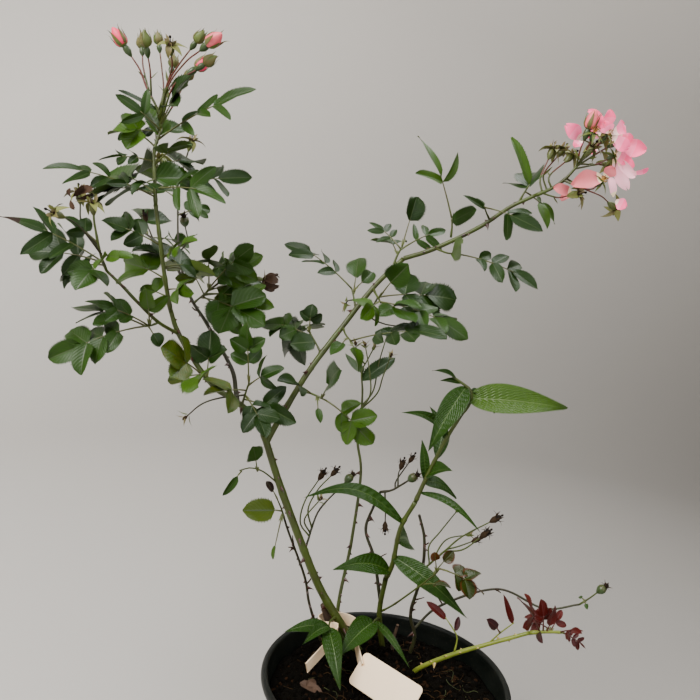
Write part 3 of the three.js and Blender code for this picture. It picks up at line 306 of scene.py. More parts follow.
MASSES = [
    spray("left_leader_leaves", (1.7, 1.4), [
        (-185, 433, 6), (-190, 454, 2), (-195, 480, -2), (-200, 507, -2),
    ], fill=2, leaves=[
        leaf(0.62, -238, 491, -14, 2, 0.6), leaf(0.42, -164, 466, 24, 1),
        leaf(0.5, -170, 484, -24, 2, 0.6), leaf(0.3, -222, 463, 30, 1), leaf(0.12, -209, 446, 18, 1),
        leaf(0.2, -170, 446, -16, 1),
    ]),
    spray("left_upper_leaves", (1.4, 1.1), [(-200, 507, -2), (-202, 528, 0), (-203, 545, 4), (-199, 560, 8)],
        fill=2, leaves=[
        leaf(0.1, -282, 527, -22, 3, 0.28), leaf(0.2, -133, 530, 16, 3, 0.4),
        leaf(0.14, -249, 511, 26, 2, 0.6), leaf(0.55, -243, 536, -12, 2, 0.4),
        leaf(0.5, -180, 554, -18, 1), leaf(0.74, -230, 561, 22, 2, 0.4),
        leaf(0.85, -136, 590, -18, 3, 0.26), leaf(0.95, -237, 553, -8, 1, 0.8),
        leaf(0.9, -212, 578, 20, 0, 0.55), leaf(0.2, -152, 517, -26, 2, 0.34),
        leaf(0.32, -217, 514, -24, 1), leaf(0.15, -239, 526, 40, 1, 0.85),
        leaf(0.97, -231, 579, -14, 1, 0.3), leaf(0.34, -172, 520, 20, 0, 0.6),
    ]),
    spray("bud_cluster", (1.1, 0.5), [
        (-199, 560, 8), (-202, 572, 10), (-211, 587, 12), (-216, 598, 12), (-223, 607, 10),
    ], end="bud", twigs=[
        twig(0.52, "bud", (-214, 600, 18), (-215, 608, 21)),
        twig(0.45, "bud", (-209, 598, 6), (-211, 607, 2)),
        twig(0.2, "bud", (-199, 585, 16), (-201, 600, 20), (-203, 611, 21)),
        twig(0.22, "dead", (-197, 588, 12), (-194, 602, 2), (-195, 610, -4)),
        twig(0.16, "bud", (-198, 586, 22), (-195, 598, 30)),
        twig(0.12, "bud", (-197, 589, 0), (-190, 603, -8), (-182, 615, -12)),
        twig(0.1, "bud", (-196, 589, -10), (-185, 606, -20), (-175, 615, -29)),
        twig(0.06, "bud", (-195, 588, 12), (-183, 598, 16)),
        twig(0.05, "bud", (-192, 590, -2), (-177, 602, -3)),
        twig(0.04, "bud", (-192, 576, 20), (-185, 591, 30)),
    ], leaves=[leaf(0.05, -183, 595, -14, 1, 0.6), leaf(0.26, -231, 581, -8, 0, 0.2)]),
    spray("far_left_leaves", (1, 0.7), [
        (-233, 457, -30), (-238, 469, -33), (-243, 489, -36), (-244, 496, -38),
    ], end="dead", twigs=[
        twig(0.3, "dead", (-251, 484, -46), (-259, 490, -52), (-265, 492, -56)),
        twig(0.4, "dead", (-252, 488, -32), (-254, 503, -28)),
    ], leaves=[
        leaf(0.14, -310, 488, -58, 2, 0.3), leaf(0.1, -269, 450, -8, 2, 0.66, face=1.1),
        leaf(0.2, -254, 440, -56, 1, 0.75, face=1.2), leaf(0.25, -226, 466, -58, 1),
        leaf(0.14, -293, 464, -30, 2, 0.55), leaf(0.5, -265, 491, -40, 1, 0.6),
    ]),
    spray("side_shoot_leaves", (0.9, 0.6), [(-193, 423, -5), (-199, 420, -12), (-204, 419, -18)], leaves=[
        leaf(1, -274, 384, -30, 3, 0.6), leaf(0.86, -257, 426, 2, 2), leaf(0.66, -246, 432, -44, 2),
        leaf(0.6, -203, 444, -34, 1), leaf(0.7, -191, 404, -12, 0, 0.75, face=1.2, stalk=0.4),
    ]),
    spray("inner_seed_heads", (1, 0.6), [
        (-177, 457, 85), (-182, 480, 96), (-184, 504, 108), (-185, 521, 112), (-179, 547, 116),
    ], end="dead", fill=1, twigs=[
        twig(0.7, "dead", (-190, 534, 124), (-194, 537, 128)),
        twig(0.2, "hip", (-176, 484, 84), (-178, 494, 78)),
    ], leaves=[leaf(0.5, -160, 508, 130, 2), leaf(0.62, -206, 520, 136, 1)]),
    spray("second_leader_tip", (1.2, 0.8), [
        (-184, 468, 92), (-192, 476, 96), (-201, 483, 101), (-215, 491, 108),
    ], fill=2, twigs=[twig(0.55, "dead", (-205, 492, 100), (-206, 495, 98))]),
    spray("left_middle_leaves", (1, 0.7), [(-168, 440, 74.5), (-164, 444, 66), (-158, 450, 58)],
        twigs=[twig(0.9, "dead", (-140, 464, 70), (-125, 462, 76))], leaves=[
        leaf(0.8, -129, 484, 50, 3, 0.6), leaf(0.95, -119, 458, 90, 2),
        leaf(0.74, -110, 442, 48, 3, 0.45), leaf(0.6, -132, 420, 56, 2, 0.7),
        leaf(1, -161, 484, 26, 2, 0.5), leaf(0.7, -178, 470, 62, 1), leaf(0.9, -121, 476, 70, 2, 0.6),
        leaf(0.6, -132, 447, 66, 1, 0.7), leaf(0.45, -118, 428, 24, 2, 0.65),
    ]),
    spray("fork_left_leaves", (0.9, 0.6), [(-151, 380.5, 19.5), (-155, 384, 12), (-160, 388, 3)], leaves=[
        leaf(0.9, -184, 379, 8, 1, 0.6), leaf(0.95, -189, 401, -26, 1, 0.75),
        leaf(0.5, -154, 419, 14, 1, 0.8), leaf(1, -160, 375, -50, 0, 0.7, face=1.2, stalk=0.35),
    ]),
    spray("fork_right_leaves", (1, 0.6), [(-128, 367, 26.5), (-126, 376, 19), (-124, 384, 13)],
        twigs=[twig(0.5, "speck", (-145, 371, 8), (-158, 365, 4), (-168, 355, 2))], leaves=[
        leaf(0.9, -103, 396, -4, 1, 0.5), leaf(1, -129, 427, 6, 2, 0.6),
        leaf(0.5, -107, 344, -10, 2, 0.62), leaf(0.7, -155, 370, -20, 1, 0.5),
        leaf(0.3, -87, 357, 8, 1, 0.5),
    ]),
    spray("bough_low_leaves", (1, 0.7), [(-88, 383, 37.5), (-77, 381, 28), (-66, 377, 21)], leaves=[
        leaf(1, -27, 345, 8, 2, 0.62, face=1.2), leaf(0.7, -70, 359, 10, 0, 0.4, stalk=0.5),
        leaf(0.85, -60, 396, -14, 0, 0.8, face=1.3, stalk=0.45), leaf(0.5, -101, 389, 4, 1, 0.5),
    ]),
    spray("bough_left_leaves", (0.9, 0.6), [(-73, 412, 43.5), (-78, 420, 51), (-83, 427, 58)], fill=1,
        leaves=[
        leaf(0.7, -118, 431, 66, 2, 0.8), leaf(1, -83, 446, 58, 1, 0.8, face=1.3),
        leaf(0.86, -102, 408, 88, 1, 0.8, face=1.35), leaf(0.5, -95, 412, 44, 0, 0.8, face=1.35),
    ]),
    spray("bough_front_leaves", (0.9, 0.6), [(-59, 433, 52), (-56, 427, 42), (-52, 423, 34)], leaves=[
        leaf(0.9, -42, 401, 20, 0, 0.7, face=1.2, stalk=0.3), leaf(0.75, -64, 410, 14, 0, 0.5, stalk=0.4),
        leaf(1, 17, 434, 2, 3, 0.5),
    ]),
    spray("bough_upper_leaves", (0.9, 0.6), [(-51, 448, 56.5), (-53, 455, 63), (-55, 461, 68)],
        twigs=[twig(0.4, "speck", (-57, 452, 76), (-58, 450, 80))], leaves=[
        leaf(1, -104, 491, 84, 3, 0.38), leaf(0.82, -39, 473, 92, 0, 0.5, stalk=0.4),
        leaf(0.66, -52, 481, 110, 0, 0.5, stalk=0.4),
    ]),
    spray("bough_middle_leaves", (1.1, 0.7), [(-40, 463, 60), (-36, 457, 50), (-33, 453, 41)],
        twigs=[twig(0.6, "speck", (-40, 443, 50), (-30, 438, 56), (-18, 437, 60))], leaves=[
        leaf(0.95, 35, 434, 24, 3, 0.46), leaf(0.7, -17, 480, 26, 0, 0.8, face=1.3, stalk=0.42),
        leaf(1, -8, 441, 4, 1, 0.6), leaf(0.9, -46, 439, 16, 1), leaf(0.6, 23, 458, 74, 2, 0.7),
    ]),
    spray("bough_top_leaves", (1, 0.7), [(-27, 479, 61.5), (-25, 487, 67), (-22, 494, 72)], leaves=[
        leaf(0.9, -47, 510, 88, 2, 0.34), leaf(1, -15, 528, 84, 0, 0.85, face=1.3, stalk=0.5),
        leaf(0.85, 9, 509, 96, 2, 0.3), leaf(0.6, -35, 501, 104, 1, 0.34),
    ]),
    spray("arch_upper_leaves", (0.9, 0.6), [(12, 504, 56.5), (12, 512, 56), (11, 518, 54)],
        leaves=[leaf(1, -13, 572, 48, 1, 0.26), leaf(0.8, 30, 522, 88, 0, 0.26)]),
    spray("arch_lower_leaves", (0.9, 0.6), [(2, 495.5, 59.5), (10, 493, 51), (17, 493, 44)],
        leaves=[leaf(1, 81, 474, 34, 3, 0.42), leaf(0.8, 22, 497, 20, 0, 0.5)]),
    spray("arch_side_leaves", (0.8, 0.5), [(38, 519, 50), (35, 524, 43), (33, 528, 36)], leaves=[
        leaf(0.8, 20, 531, 20, 0, 0.2), leaf(0.92, 77, 513, 20, 1, 0.4), leaf(1, 27, 533, 52, 0, 0.2),
    ]),
    spray("arch_end_leaves", (0.9, 0.6), [(57, 533, 44.5), (60, 540, 51), (63, 546, 57)], leaves=[
        leaf(1, 48, 579, 62, 0, 0.22), leaf(0.8, 43, 546, 76, 0, 0.22), leaf(0.6, 88, 519, 70, 1, 0.34),
        leaf(0.9, 70, 557, 84, 0),
    ]),
    spray("flower_cluster", (1.4, 0.9), [(68, 539, 42), (79, 545, 40), (89, 554, 38), (99, 569, 36)],
        end="dead", kind="bloom", twigs=[
        twig(0.12, "dead", (70, 551, 46), (74, 565, 50)), twig(0.2, "dead", (72, 554, 52), (80, 567, 58)),
        twig(0.28, "dead", (76, 553, 42), (86, 564, 46)), twig(0.8, "bud", (95, 572, 30), (97, 580, 28)),
        twig(0.85, "bloom", (100, 575, 28), (103, 585, 22)),
        twig(0.9, "bloom", (105, 574, 34), (112, 585, 30)),
        twig(0.8, "bloom", (109, 573, 36), (119, 580, 32)),
        twig(0.75, "bloom", (109, 565, 44), (119, 571, 48)),
        twig(0.5, "bloom", (97, 548, 32), (107, 547, 34), (113, 553, 36)),
        twig(0.55, "dead", (101, 547, 46), (114, 543, 52), (120, 539, 56)),
        twig(0.95, "dead", (103, 574, 48), (108, 579, 54)),
        twig(0.85, "dead", (106, 564, 56), (112, 565, 64)),
        twig(0.1, "dead", (84, 539, 40), (91, 541, 34)),
    ]),
    spray("thin_cane_tips", (1.1, 0.5), [
        (-39, 368, 114), (-40, 387, 118), (-42, 401, 121), (-39, 409, 123), (-35, 419, 126),
    ], end="speck", twigs=[
        twig(0.1, "speck", (-34, 385, 108), (-36, 401, 110), (-41, 420, 116)),
        twig(0.14, "speck", (-32, 388, 126), (-30, 409, 134), (-26, 430, 138)),
        twig(0.1, "speck", (-29, 386, 112), (-26, 399, 104), (-22, 414, 100)),
        twig(0.75, "speck", (-46, 412, 118), (-48, 420, 114)),
    ], leaves=[leaf(0.5, -18, 412, 146, 0, 0.3), leaf(0.6, -56, 414, 142, 0, 0.3)]),
    spray("left_side_leaves", (0.9, 0.5), [(-89, 282, 48), (-92, 290, 46), (-96, 298, 43)], kind="pale",
        leaves=[
        leaf(0.4, -121, 283, 34, 0, 0.6, face=1.1, stalk=0.2), leaf(1, -104, 309, 36, 0, 0.5, stalk=0.4),
        leaf(0.3, -96, 247, 32, 0, 0.36, stalk=0.7),
    ]),
    spray("cane_leaf", (0.7, 0.5), [(-95, 309, 36), (-108, 318, 28), (-118, 320, 24), (-126, 317, 21)],
        leaves=[
        leaf(0.95, -136, 294, 18, 0, 0.3, stalk=0.25),
        leaf(0.62, -117, 335, 14, 0, 0.85, face=1.2, stalk=0.4),
    ]),
    spray("seed_head_twigs", (1, 0.6), [
        (-72, 259, 41.5), (-70, 267, 50), (-67, 282, 57), (-62, 295, 62), (-46, 316, 72),
    ], end="hip", kind="seed", twigs=[
        twig(0.2, "dead", (-77, 281, 56), (-75, 298, 60), (-66, 316, 64)),
        twig(0.3, "dead", (-72, 292, 48), (-66, 308, 46), (-57, 320, 46)),
        twig(0.24, "speck", (-74, 284, 40), (-64, 300, 34)),
    ]),
    spray("thorny_stem_tips", (1.1, 0.7), [(-19, 311, 58), (-11, 313, 55), (-4, 318, 52), (1, 322, 50)],
        end="hip", kind="seed", twigs=[
        twig(0.6, "dead", (-7, 326, 60), (-6, 330, 62)),
        twig(0.15, "dead", (-14, 300, 52), (-13, 288, 50)),
        twig(0.5, "dead", (-8, 321, 64), (0, 336, 68)),
    ]),
    spray("lance_low_leaves", (2.1, 1.8), [(-8, 243, 51), (-4, 255, 48), (-1, 284, 42), (8, 306, 36)],
        kind="lance", leaves=[
        blade(0.7, -77, 301, 20, 0.13, 0.2), blade(0.1, -48, 247, 20, 0.28, 0.1),
        blade(0.28, 59, 217, 14, 0.21, 0.05), blade(0.5, 10, 268, 116, 0.28),
    ]),
    spray("lance_middle_leaves", (1.8, 1.4), [
        (8, 306, 36), (13, 322, 32), (20, 342, 26), (27, 360, 22), (35, 377, 18),
    ], kind="lance", leaves=[
        blade(0.75, -9, 375, 8, 0.16, 0.12), blade(0.7, 10, 382, 46, 0.16), blade(0.3, 33, 333, 4, 0.4),
        blade(0.22, 39, 311, 50, 0.28, 0.14), blade(0.1, 61, 286, 14, 0.12, 0.14),
        blade(0.5, 25, 368, 70, 0.24), blade(0.25, 8, 355, 32, 0.22),
    ]),
    spray("lance_top_leaves", (1.4, 0.9), [(35, 377, 18), (40, 386, 17), (39, 395, 16), (25, 404, 15)],
        kind="lance", leaves=[
        blade(0.35, 113, 389, 6, 0.32, 0.02), blade(0.65, 13, 345, 0, 0.3, 0.06),
        blade(0.95, 9, 408, 12, 0.26), blade(0.8, 15, 400, 18, 0.26), blade(0.5, 60, 380, 54, 0.2),
    ]),
    spray("glossy_leaves", (0.9, 0.6), [
        (-8.5, 216, 55), (1, 223, 42), (17, 238, 26), (29, 250, 16), (32, 255, 13),
    ], leaves=[
        leaf(1, 71, 238, 6, 2, 0.8, face=1.15), leaf(0.95, 27, 266, 8, 0, 0.8, face=1.1, stalk=0.55),
        leaf(0.9, 41, 269, 22, 0, 0.8, face=1.2, stalk=0.5), leaf(0.7, 41, 241, 6, 0, 0.7, stalk=0.45),
    ]),
    spray("seed_head_sprays", (0.9, 0.5), [(19, 252, 45.5), (34, 269, 40), (46, 282, 36), (66, 296, 30)],
        end="dead", kind="seed", twigs=[
        twig(0.4, "dead", (44, 274, 46), (54, 279, 50)), twig(0.36, "dead", (48, 272, 32), (60, 283, 28)),
        twig(0.12, "speck", (22, 272, 54), (29, 284, 58), (40, 302, 62)),
        twig(0.15, "speck", (34, 278, 62), (50, 284, 70)),
    ]),
    spray("low_right_tip", (0.8, 0.6), [(142, 237, 46), (149, 243, 45), (154, 248, 44)],
        end="hip", kind="seed",
        leaves=[leaf(0.3, 140, 244, 54, 0, 0.5, stalk=0.4), leaf(0.25, 149, 234, 36, 0, 0.5, stalk=0.4)]),
    spray("red_leaves", (1.5, 1), [(107, 210, 8), (119, 212, 6), (133, 213, 5)], kind="red", leaves=[
        leaf(0.3, 98, 236, -4, 1, 0.5), leaf(0.4, 114, 236, 6, 1, 0.5),
        leaf(0.5, 126, 230, -2, 0, 0.42, stalk=0.25), leaf(0.6, 130, 230, 16, 1, 0.46),
        leaf(0.95, 153, 201, 0, 3, 0.45), leaf(0.9, 145, 215, -12, 1, 0.42),
        leaf(0.25, 116, 202, -8, 0, 0.3), leaf(0.7, 99, 222, 30, 1, 0.5),
    ]),
    spray("red_side_leaves", (0.7, 0.4), [(76, 197, 13.5), (84, 207, 12), (94, 217, 11)], kind="red",
        leaves=[leaf(0.95, 86, 237, 8, 0, 0.18), leaf(0.5, 75, 217, 2, 0, 0.42, stalk=0.3)]),
    spray("red_low_leaves", (0.7, 0.4), [(51, 187, 19.5), (52, 200, 22), (48, 207, 23), (41, 216, 26)],
        kind="red", leaves=[leaf(0.95, 26, 226, 22, 0, 0.26), leaf(0.6, 54, 217, 32, 0, 0.32)]),
    spray("base_leaves", (1, 0.7), [(-43, 208, 45), (-47, 204, 34), (-48, 198, 24)], kind="lance", leaves=[
        blade(0.95, -83, 192, 14, 0.26), blade(0.9, -67, 184, 0, 0.3), blade(1, -34, 147, -16, 0.3),
    ]),
    spray("foot_leaf", (0.9, 0.7), [(-9.5, 210, 56), (-12, 209, 47), (-14, 206, 39)], kind="lance",
        leaves=[blade(0.95, -38, 175, 8, 0.42), blade(0.8, 18, 172, 6, 0.12)]),
]

# Shapes gathered into joined meshes


def stand(name, data):
    """A new object in the scene, at the origin."""
    made = bpy.data.objects.new(name, data)
    bpy.context.scene.collection.objects.link(made)
    return made


class Heap:
    """Many small shapes gathered into one mesh, each face with its own finish."""

    def __init__(self):
        self.points, self.faces, self.paints, self.marks = [], [], [], []
        self.names = []

    def add(self, points, faces, paint, marks=None):
        start = len(self.points)
        self.points.extend(points)
        self.faces.extend([start + i for i in face] for face in faces)
        for name in [paint] * len(faces) if isinstance(paint, str) else paint:
            if name not in self.names:
                self.names.append(name)
            self.paints.append(self.names.index(name))
        self.marks.extend(marks or [(0.5, 0.5)] * len(points))

    def make(self, name):
        mesh = bpy.data.meshes.new(name)
        mesh.from_pydata([p * MM for p in self.points], [], self.faces)
        for paint in self.names:
            mesh.materials.append(bpy.data.materials[paint])
        mesh.polygons.foreach_set("material_index", self.paints)
        mesh.shade_smooth()
        layer = mesh.uv_layers.new(name="surface")
        flat = [value for face in self.faces for i in face for value in self.marks[i]]
        layer.data.foreach_set("uv", flat)
        mesh.validate()
        return stand(name, mesh)


def skin(heap, rows, paint, marks=None, loop=False, flip=False, ends=False):
    """Faces between rows of points; paint is one finish, or a rule of row and column."""
    start, wide = len(heap.points), len(rows[0])
    points = [p for row in rows for p in (reversed(row) if flip else row)]
    faces, paints = [], []
    for r in range(len(rows) - 1):
        for c in range(wide if loop else wide - 1):
            d = (c + 1) % wide
            faces.append((r * wide + c, (r + 1) * wide + c, (r + 1) * wide + d, r * wide + d))
            paints.append(paint if isinstance(paint, str) else paint(r, c))
    heap.add(points, faces, paints, marks)
    if ends:
        first = list(range(start, start + wide))
        last = list(range(len(heap.points) - wide, len(heap.points)))
        heap.faces.extend([first, last[::-1]] if flip else [first[::-1], last])
        heap.paints.extend([heap.paints[-1]] * 2)


def heading(line, k):
    """The way a line of points runs at one of them."""
    return (line[min(k + 1, len(line) - 1)] - line[max(k - 1, 0)]).normalized()


def tube(heap, points, radii, sides, paint, ends=True):
    """A round tapering tube with closed ends."""
    forward = (points[1] - points[0]).normalized()
    level, over = cross_of(forward)
    angles = [2 * math.pi * j / sides for j in range(sides)]
    rows, marks = [], []
    for k, point in enumerate(points):
        ahead = heading(points, k)
        turn = forward.rotation_difference(ahead)
        level, over, forward = turn @ level, turn @ over, ahead
        rows.append([point + towards(level, over, a) * radii[k] for a in angles])
        marks.extend((j / sides, k / len(points)) for j in range(sides))
    skin(heap, rows, paint, marks, loop=True, flip=True, ends=ends)


# Turned forms of buds and heads: distance along the axis and radius, from foot to top
BUD_FOOT = [(7.4, 1.6), (8.4, 3.3), (10.4, 4.5), (13, 4.4)]
FORMS = dict(
    calyx=[(-0.8, 0.55), (0.8, 1.5), (3.2, 2.5), (5.6, 2.45), (7.2, 1.9), (7.8, 1.7)],
    knob=[(-0.4, 0.3), (0.1, 0.8), (0.9, 0.95), (1.6, 0.6), (1.9, 0.05)],
    shut_bud=[*BUD_FOOT, (15.6, 3.3), (18, 1.5), (19.4, 0.5), (19.8, 0.05)],
    open_bud=[*BUD_FOOT, (16, 3.9), (18.8, 2.4), (20.6, 1.1), (21.4, 0.05)],
    dry_urn=[(-0.8, 0.5), (0.8, 1.5), (3.2, 2.5), (5.6, 2.3), (7.4, 1.9), (9, 1.2), (9.8, 0.05)],
    hip=[(-0.6, 0.6), (0.8, 2.2), (3, 3.6), (5.4, 3.8), (7.4, 2.8), (8.4, 1.9), (8.7, 0.05)],
    hip_top=[(0, 1.9), (1.6, 2.0), (3.2, 1.5), (4, 0.05)],
    disc=[(-0.4, 1.6), (0.5, 2.3), (1.3, 2.1), (1.9, 1.2), (2.1, 0.05)],
    speck=[(-0.5, 0.4), (0.8, 1.2), (2.2, 1.5), (3.6, 1.0), (4.6, 0.05)],
    anther=[(-0.3, 0.1), (0, 0.45), (0.5, 0.1)],
)
# A bud's sepal: distance along the axis, distance from it and width
BUD_SEPAL = [
    (7.2, 1.7, 2.4), (8.6, 3.75, 4.6), (10.6, 4.85, 5.4), (13, 4.75, 4.6),
    (15.4, 3.9, 3.2), (17.4, 2.7, 1.8), (19, 2.3, 0.8), (20.6, 2.5, 0.1),
]
SEPAL_WIDTHS = (0.8, 1.0, 0.85, 0.55, 0.3, 0.06)
SPENT_WIDTHS = (0.75, 1, 0.9, 0.62, 0.34, 0.05)


def round_form(heap, base, along, form, sides, paint, turn=0.0, size=1.0):
    """A turned form on an axis, with paint by row if it is a rule."""
    level, over = cross_of(along)
    angles = [turn - 2 * math.pi * j / sides for j in range(sides)]
    last = len(FORMS[form]) - 1
    rows, marks = [], []
    for k, (distance, radius) in enumerate(FORMS[form]):
        centre, radius = base + along * (distance * size), max(radius * size, 0.02)
        rows.append([centre + towards(level, over, a) * radius for a in angles])
        marks.extend((j / sides, k / last) for j in range(sides))
    skin(heap, rows, paint, marks, loop=True)


def strip(heap, line, widths, facing, paint, cup=0.25):
    """A narrow blade along a line of points, folded at its midrib."""
    rows, marks = [], []
    for k, point in enumerate(line):
        ahead = heading(line, k)
        side = facing.cross(ahead).normalized()
        half, over = widths[k] / 2, ahead.cross(side)
        rows.append([point - side * half + over * cup * half, point, point + side * half + over * cup * half])
        marks.extend((u, k / len(line)) for u in (0, 0.5, 1))
    skin(heap, rows, paint, marks)


BEND = dict(fold=(0.28, 0.24), curl=(0.12, 0.14), twist=0.5, wave=0.16, ripples=5)
QUILT = dict(height=0.95, slant=0.16, pitch=88, end=1.1)
TOOTH = dict(notch=0.55, peak=0.9, small=0.8, last=0.6)
BLADES = dict(
    rose=dict(
        rows=10, cols=(-1, -0.82, -0.42, -0.05, 0.05, 0.42, 0.82, 1),
        rise=0.46, fall=0.6, tooth=0.115, sway=0.65,
    ),
    lance=dict(
        rows=56, cols=(-1, -0.9, -0.62, -0.3, -0.03, 0.03, 0.3, 0.62, 0.9, 1),
        rise=0.7, fall=1.3, tooth=0.045, sway=0.2,
    ),
)


def quilt(s, u):
    """How far a long leaf bulges between its veins, by the shares of its length and half width."""
    rows = math.sin((s - QUILT["slant"] * u) * QUILT["pitch"])
    return QUILT["height"] * rows * math.sin(math.pi * u) * (QUILT["end"] - s)


def leaf_blade(heap, leaflet, kind, roll, paint, rib, edge=None, tip=None):
    """One leaflet with a folded midrib, a toothed edge and its own bend and twist."""
    form = BLADES[kind]
    root, along, facing = leaflet["root"], leaflet["along"], leaflet["facing"]
    length, half = leaflet["length"], leaflet["width"] / 2
    facing = Quaternion(along, vary(roll, form["sway"])) @ facing
    across = facing.cross(along).normalized()
    fold, curl, twist = about(roll, *BEND["fold"]), about(roll, *BEND["curl"]), vary(roll, BEND["twist"])
    wave, phase = BEND["wave"] * half, roll() * 6
    peak = form["rise"] / (form["rise"] + form["fall"])
    cols, steps = form["cols"], form["rows"]
    rows, marks = [], []
    for r in range(steps + 1):
        s = r / steps
        shape = (max(s, 0.002) / peak) ** form["rise"] * ((1.006 - s) / (1 - peak)) ** form["fall"]
        centre = root + along * (s * length) + facing * (curl * length * (0.6 * s - s * s))
        if kind == "lance":
            centre += UP * leaflet["arch"] * length * math.sin(math.pi * s)
        side = towards(across, facing, twist * s)
        over = towards(facing, -across, twist * s)
        row = []
        for u in cols:
            lift = fold * abs(u) * shape * half + wave * u * u * math.sin(BEND["ripples"] * s + phase + u)
            if kind == "lance":
                lift += quilt(s, abs(u))
            row.append(centre + side * (u * shape * half) + over * lift)
            marks.append((u / 2 + 0.5, s))
        rows.append(row)

    def paint_of(r, c):
        if tip and r >= 0.6 * steps:
            return tip
        if c == len(cols) // 2 - 1:
            return rib
        return edge if edge and c in (0, len(cols) - 2) else paint

    skin(heap, rows, paint_of, marks)
    toothed_edge(heap, rows, marks, form["tooth"] * half * 2, edge or paint)


def toothed_edge(heap, rows, marks, tooth, paint):
    """A large and a small tooth on each stretch of a leaflet's two edges."""
    wide = len(rows[0])
    points, faces, tooth_marks = [], [], []
    for r in range(1, len(rows) - 2):
        reach = tooth * (1 if r < len(rows) - 3 else TOOTH["last"])
        for left, col in ((True, 0), (False, wide - 1)):
            start, end = rows[r][col], rows[r + 1][col]
            notch = start.lerp(end, TOOTH["notch"])
            out = (start - rows[r][wide // 2]).normalized()
            large = start.lerp(notch, TOOTH["peak"]) + out * reach
            small = notch.lerp(end, TOOTH["peak"]) + out * reach * TOOTH["small"]
            at = len(points)
            points.extend([start, large, notch, small, end])
            tooth_marks.extend([marks[r * wide + col]] * 5)
            for trio in ((at, at + 1, at + 2), (at + 2, at + 3, at + 4)):
                faces.append(trio if left else trio[::-1])
    heap.add(points, faces, paint, tooth_marks)


def stipules(heap, bow, paint):
    """The two slim wings at a petiole's foot."""
    forward = bow.forward(0.05)
    level, over = cross_of(forward)
    foot, reach = bow.at(0.01), min(7.0, 0.2 * bow.length)
    for hand in (-1, 1):
        line = [foot + forward * reach * s + level * hand * (0.5 + 1.2 * s * s) for s in (0, 0.35, 0.7, 1)]
        strip(heap, line, (0.8, 1.5, 1.1, 0.1), over, paint)


# What twigs end in


def curled_sepal(heap, start, along, out, lean, curl, reach, widths, paint, cup):
    """One sepal that leaves its calyx at a lean and curls on to its tip."""
    line, point, steps = [], start, len(widths) - 1
    for _ in widths:
        line.append(point)
        point = point + towards(along, out, lean) * reach / steps
        lean += curl / steps
    facing = (line[1] - line[0]).normalized().cross(along.cross(out).normalized())
    strip(heap, line, widths, -facing, paint, cup)


def sepals(heap, base, along, count, reach, width, lean, curl, paint, turn=0.0):
    """Pointed sepals from a calyx, from shut round a bud to bent right back."""
    widths = [width * s for s in SEPAL_WIDTHS]
    for k in range(count):
        out = spoke(along, turn + 2 * math.pi * k / count)
        curled_sepal(heap, base + out * 1.1, along, out, lean, curl, reach, widths, paint, -0.4)


def calyx(heap, at, along, paint, size=1.0):
    """The green urn under a bud or a flower."""
    round_form(heap, at, along, "calyx", 12, paint, size=size)


def styles(heap, at, along, reach):
    """The dark column of styles with its small round knob."""
    tube(heap, [at, at + along * reach * 0.5, at + along * reach], [0.5, 0.36, 0.34], 6, "dry_dark")
    round_form(heap, at + along * reach, along, "knob", 8, "dry_dark")


def bud(heap, at, along, roll, tip="sepal_green"):
    """A fat bud: its urn, the body and five sepals that hug it and end in fine points."""
    shut = tip == "sepal_green"
    size = (0.86 if shut else 1.05) * (1 + vary(roll, 0.12))
    turn = roll() * 6
    calyx(heap, at, along, "hip_green", size)

    def paint(r, c):
        return "sepal_green" if r < 1 else tip

    round_form(heap, at, along, "shut_bud" if shut else "open_bud", 14, paint, turn, size)
    for k in range(5):
        out = spoke(along, turn + 2 * math.pi * k / 5)
        gape = 0.25 if shut else 0.35 + 0.9 * roll()
        line, widths = [], []
        for distance, radius, width in BUD_SEPAL:
            away = gape * max(0, distance - 12) ** 1.3 * 0.28
            line.append(at + along * distance * size + out * (radius + away) * size)
            widths.append(width * size * (1 if shut else 0.62))
        strip(heap, line, widths, out, "sepal_green" if k % 2 else "sepal_olive", cup=-0.3)


def dry_head(heap, at, along, roll):
    """A withered flower: a shrivelled urn with its sepals closed over it."""
    turn, size = roll() * 6, 0.8 + 0.3 * roll()

    def paint(r, c):
        return "dry_brown" if r < 3 else "dry_dark"

    round_form(heap, at, along, "dry_urn", 10, paint, turn, size)
    sepals(heap, at + along * 4 * size, along, 5, 7 * size, 2.6 * size, 0.75, -0.6, "dry_brown", turn)
    sepals(heap, at + along * 5 * size, along, 4, 6.5 * size, 1.6 * size, 0.7, 1.9, "dry_dark", turn + 0.6)
    styles(heap, at + along * 7 * size, along, 3)


def rumpled_head(heap, at, along, roll):
    """A dried flower that kept its petals, crumpled into a brown ball."""
    calyx(heap, at, along, "hip_olive", 0.8)
    for k in range(9):
        out = spoke(along, k * WHORL + roll())
        start = at + along * 6 + out * 1.4
        end = start + along * (9 + 5 * roll()) + out * (3 + 6 * roll())
        facing = (out - along * 0.4 + cross_of(along)[0] * vary(roll, 0.8)).normalized()
        petal(heap, start, end, facing, 5 + 3 * roll(), roll, ("petal_dry", "petal_dry", "dry_leaf"))
    sepals(heap, at + along * 6.5, along, 5, 8, 3, 1.4, 0.6, "sepal_straw", roll() * 6)


def hip(heap, at, along, roll):
    """A young fruit with the dried sepals and disc still on it."""
    turn = roll() * 6

    def paint(r, c):
        return "hip_green" if r < 3 else "hip_ripe"

    round_form(heap, at, along, "hip", 12, paint, turn)
    sepals(heap, at + along * 7.6, along, 5, 6, 2.6, 0.5, 0.6, "dry_brown", turn)
    sepals(heap, at + along * 7.8, along, 4, 5, 1.4, 0.9, 1.6, "dry_dark", turn + 0.7)
    round_form(heap, at + along * 7.8, along, "hip_top", 8, "dry_dark", turn)


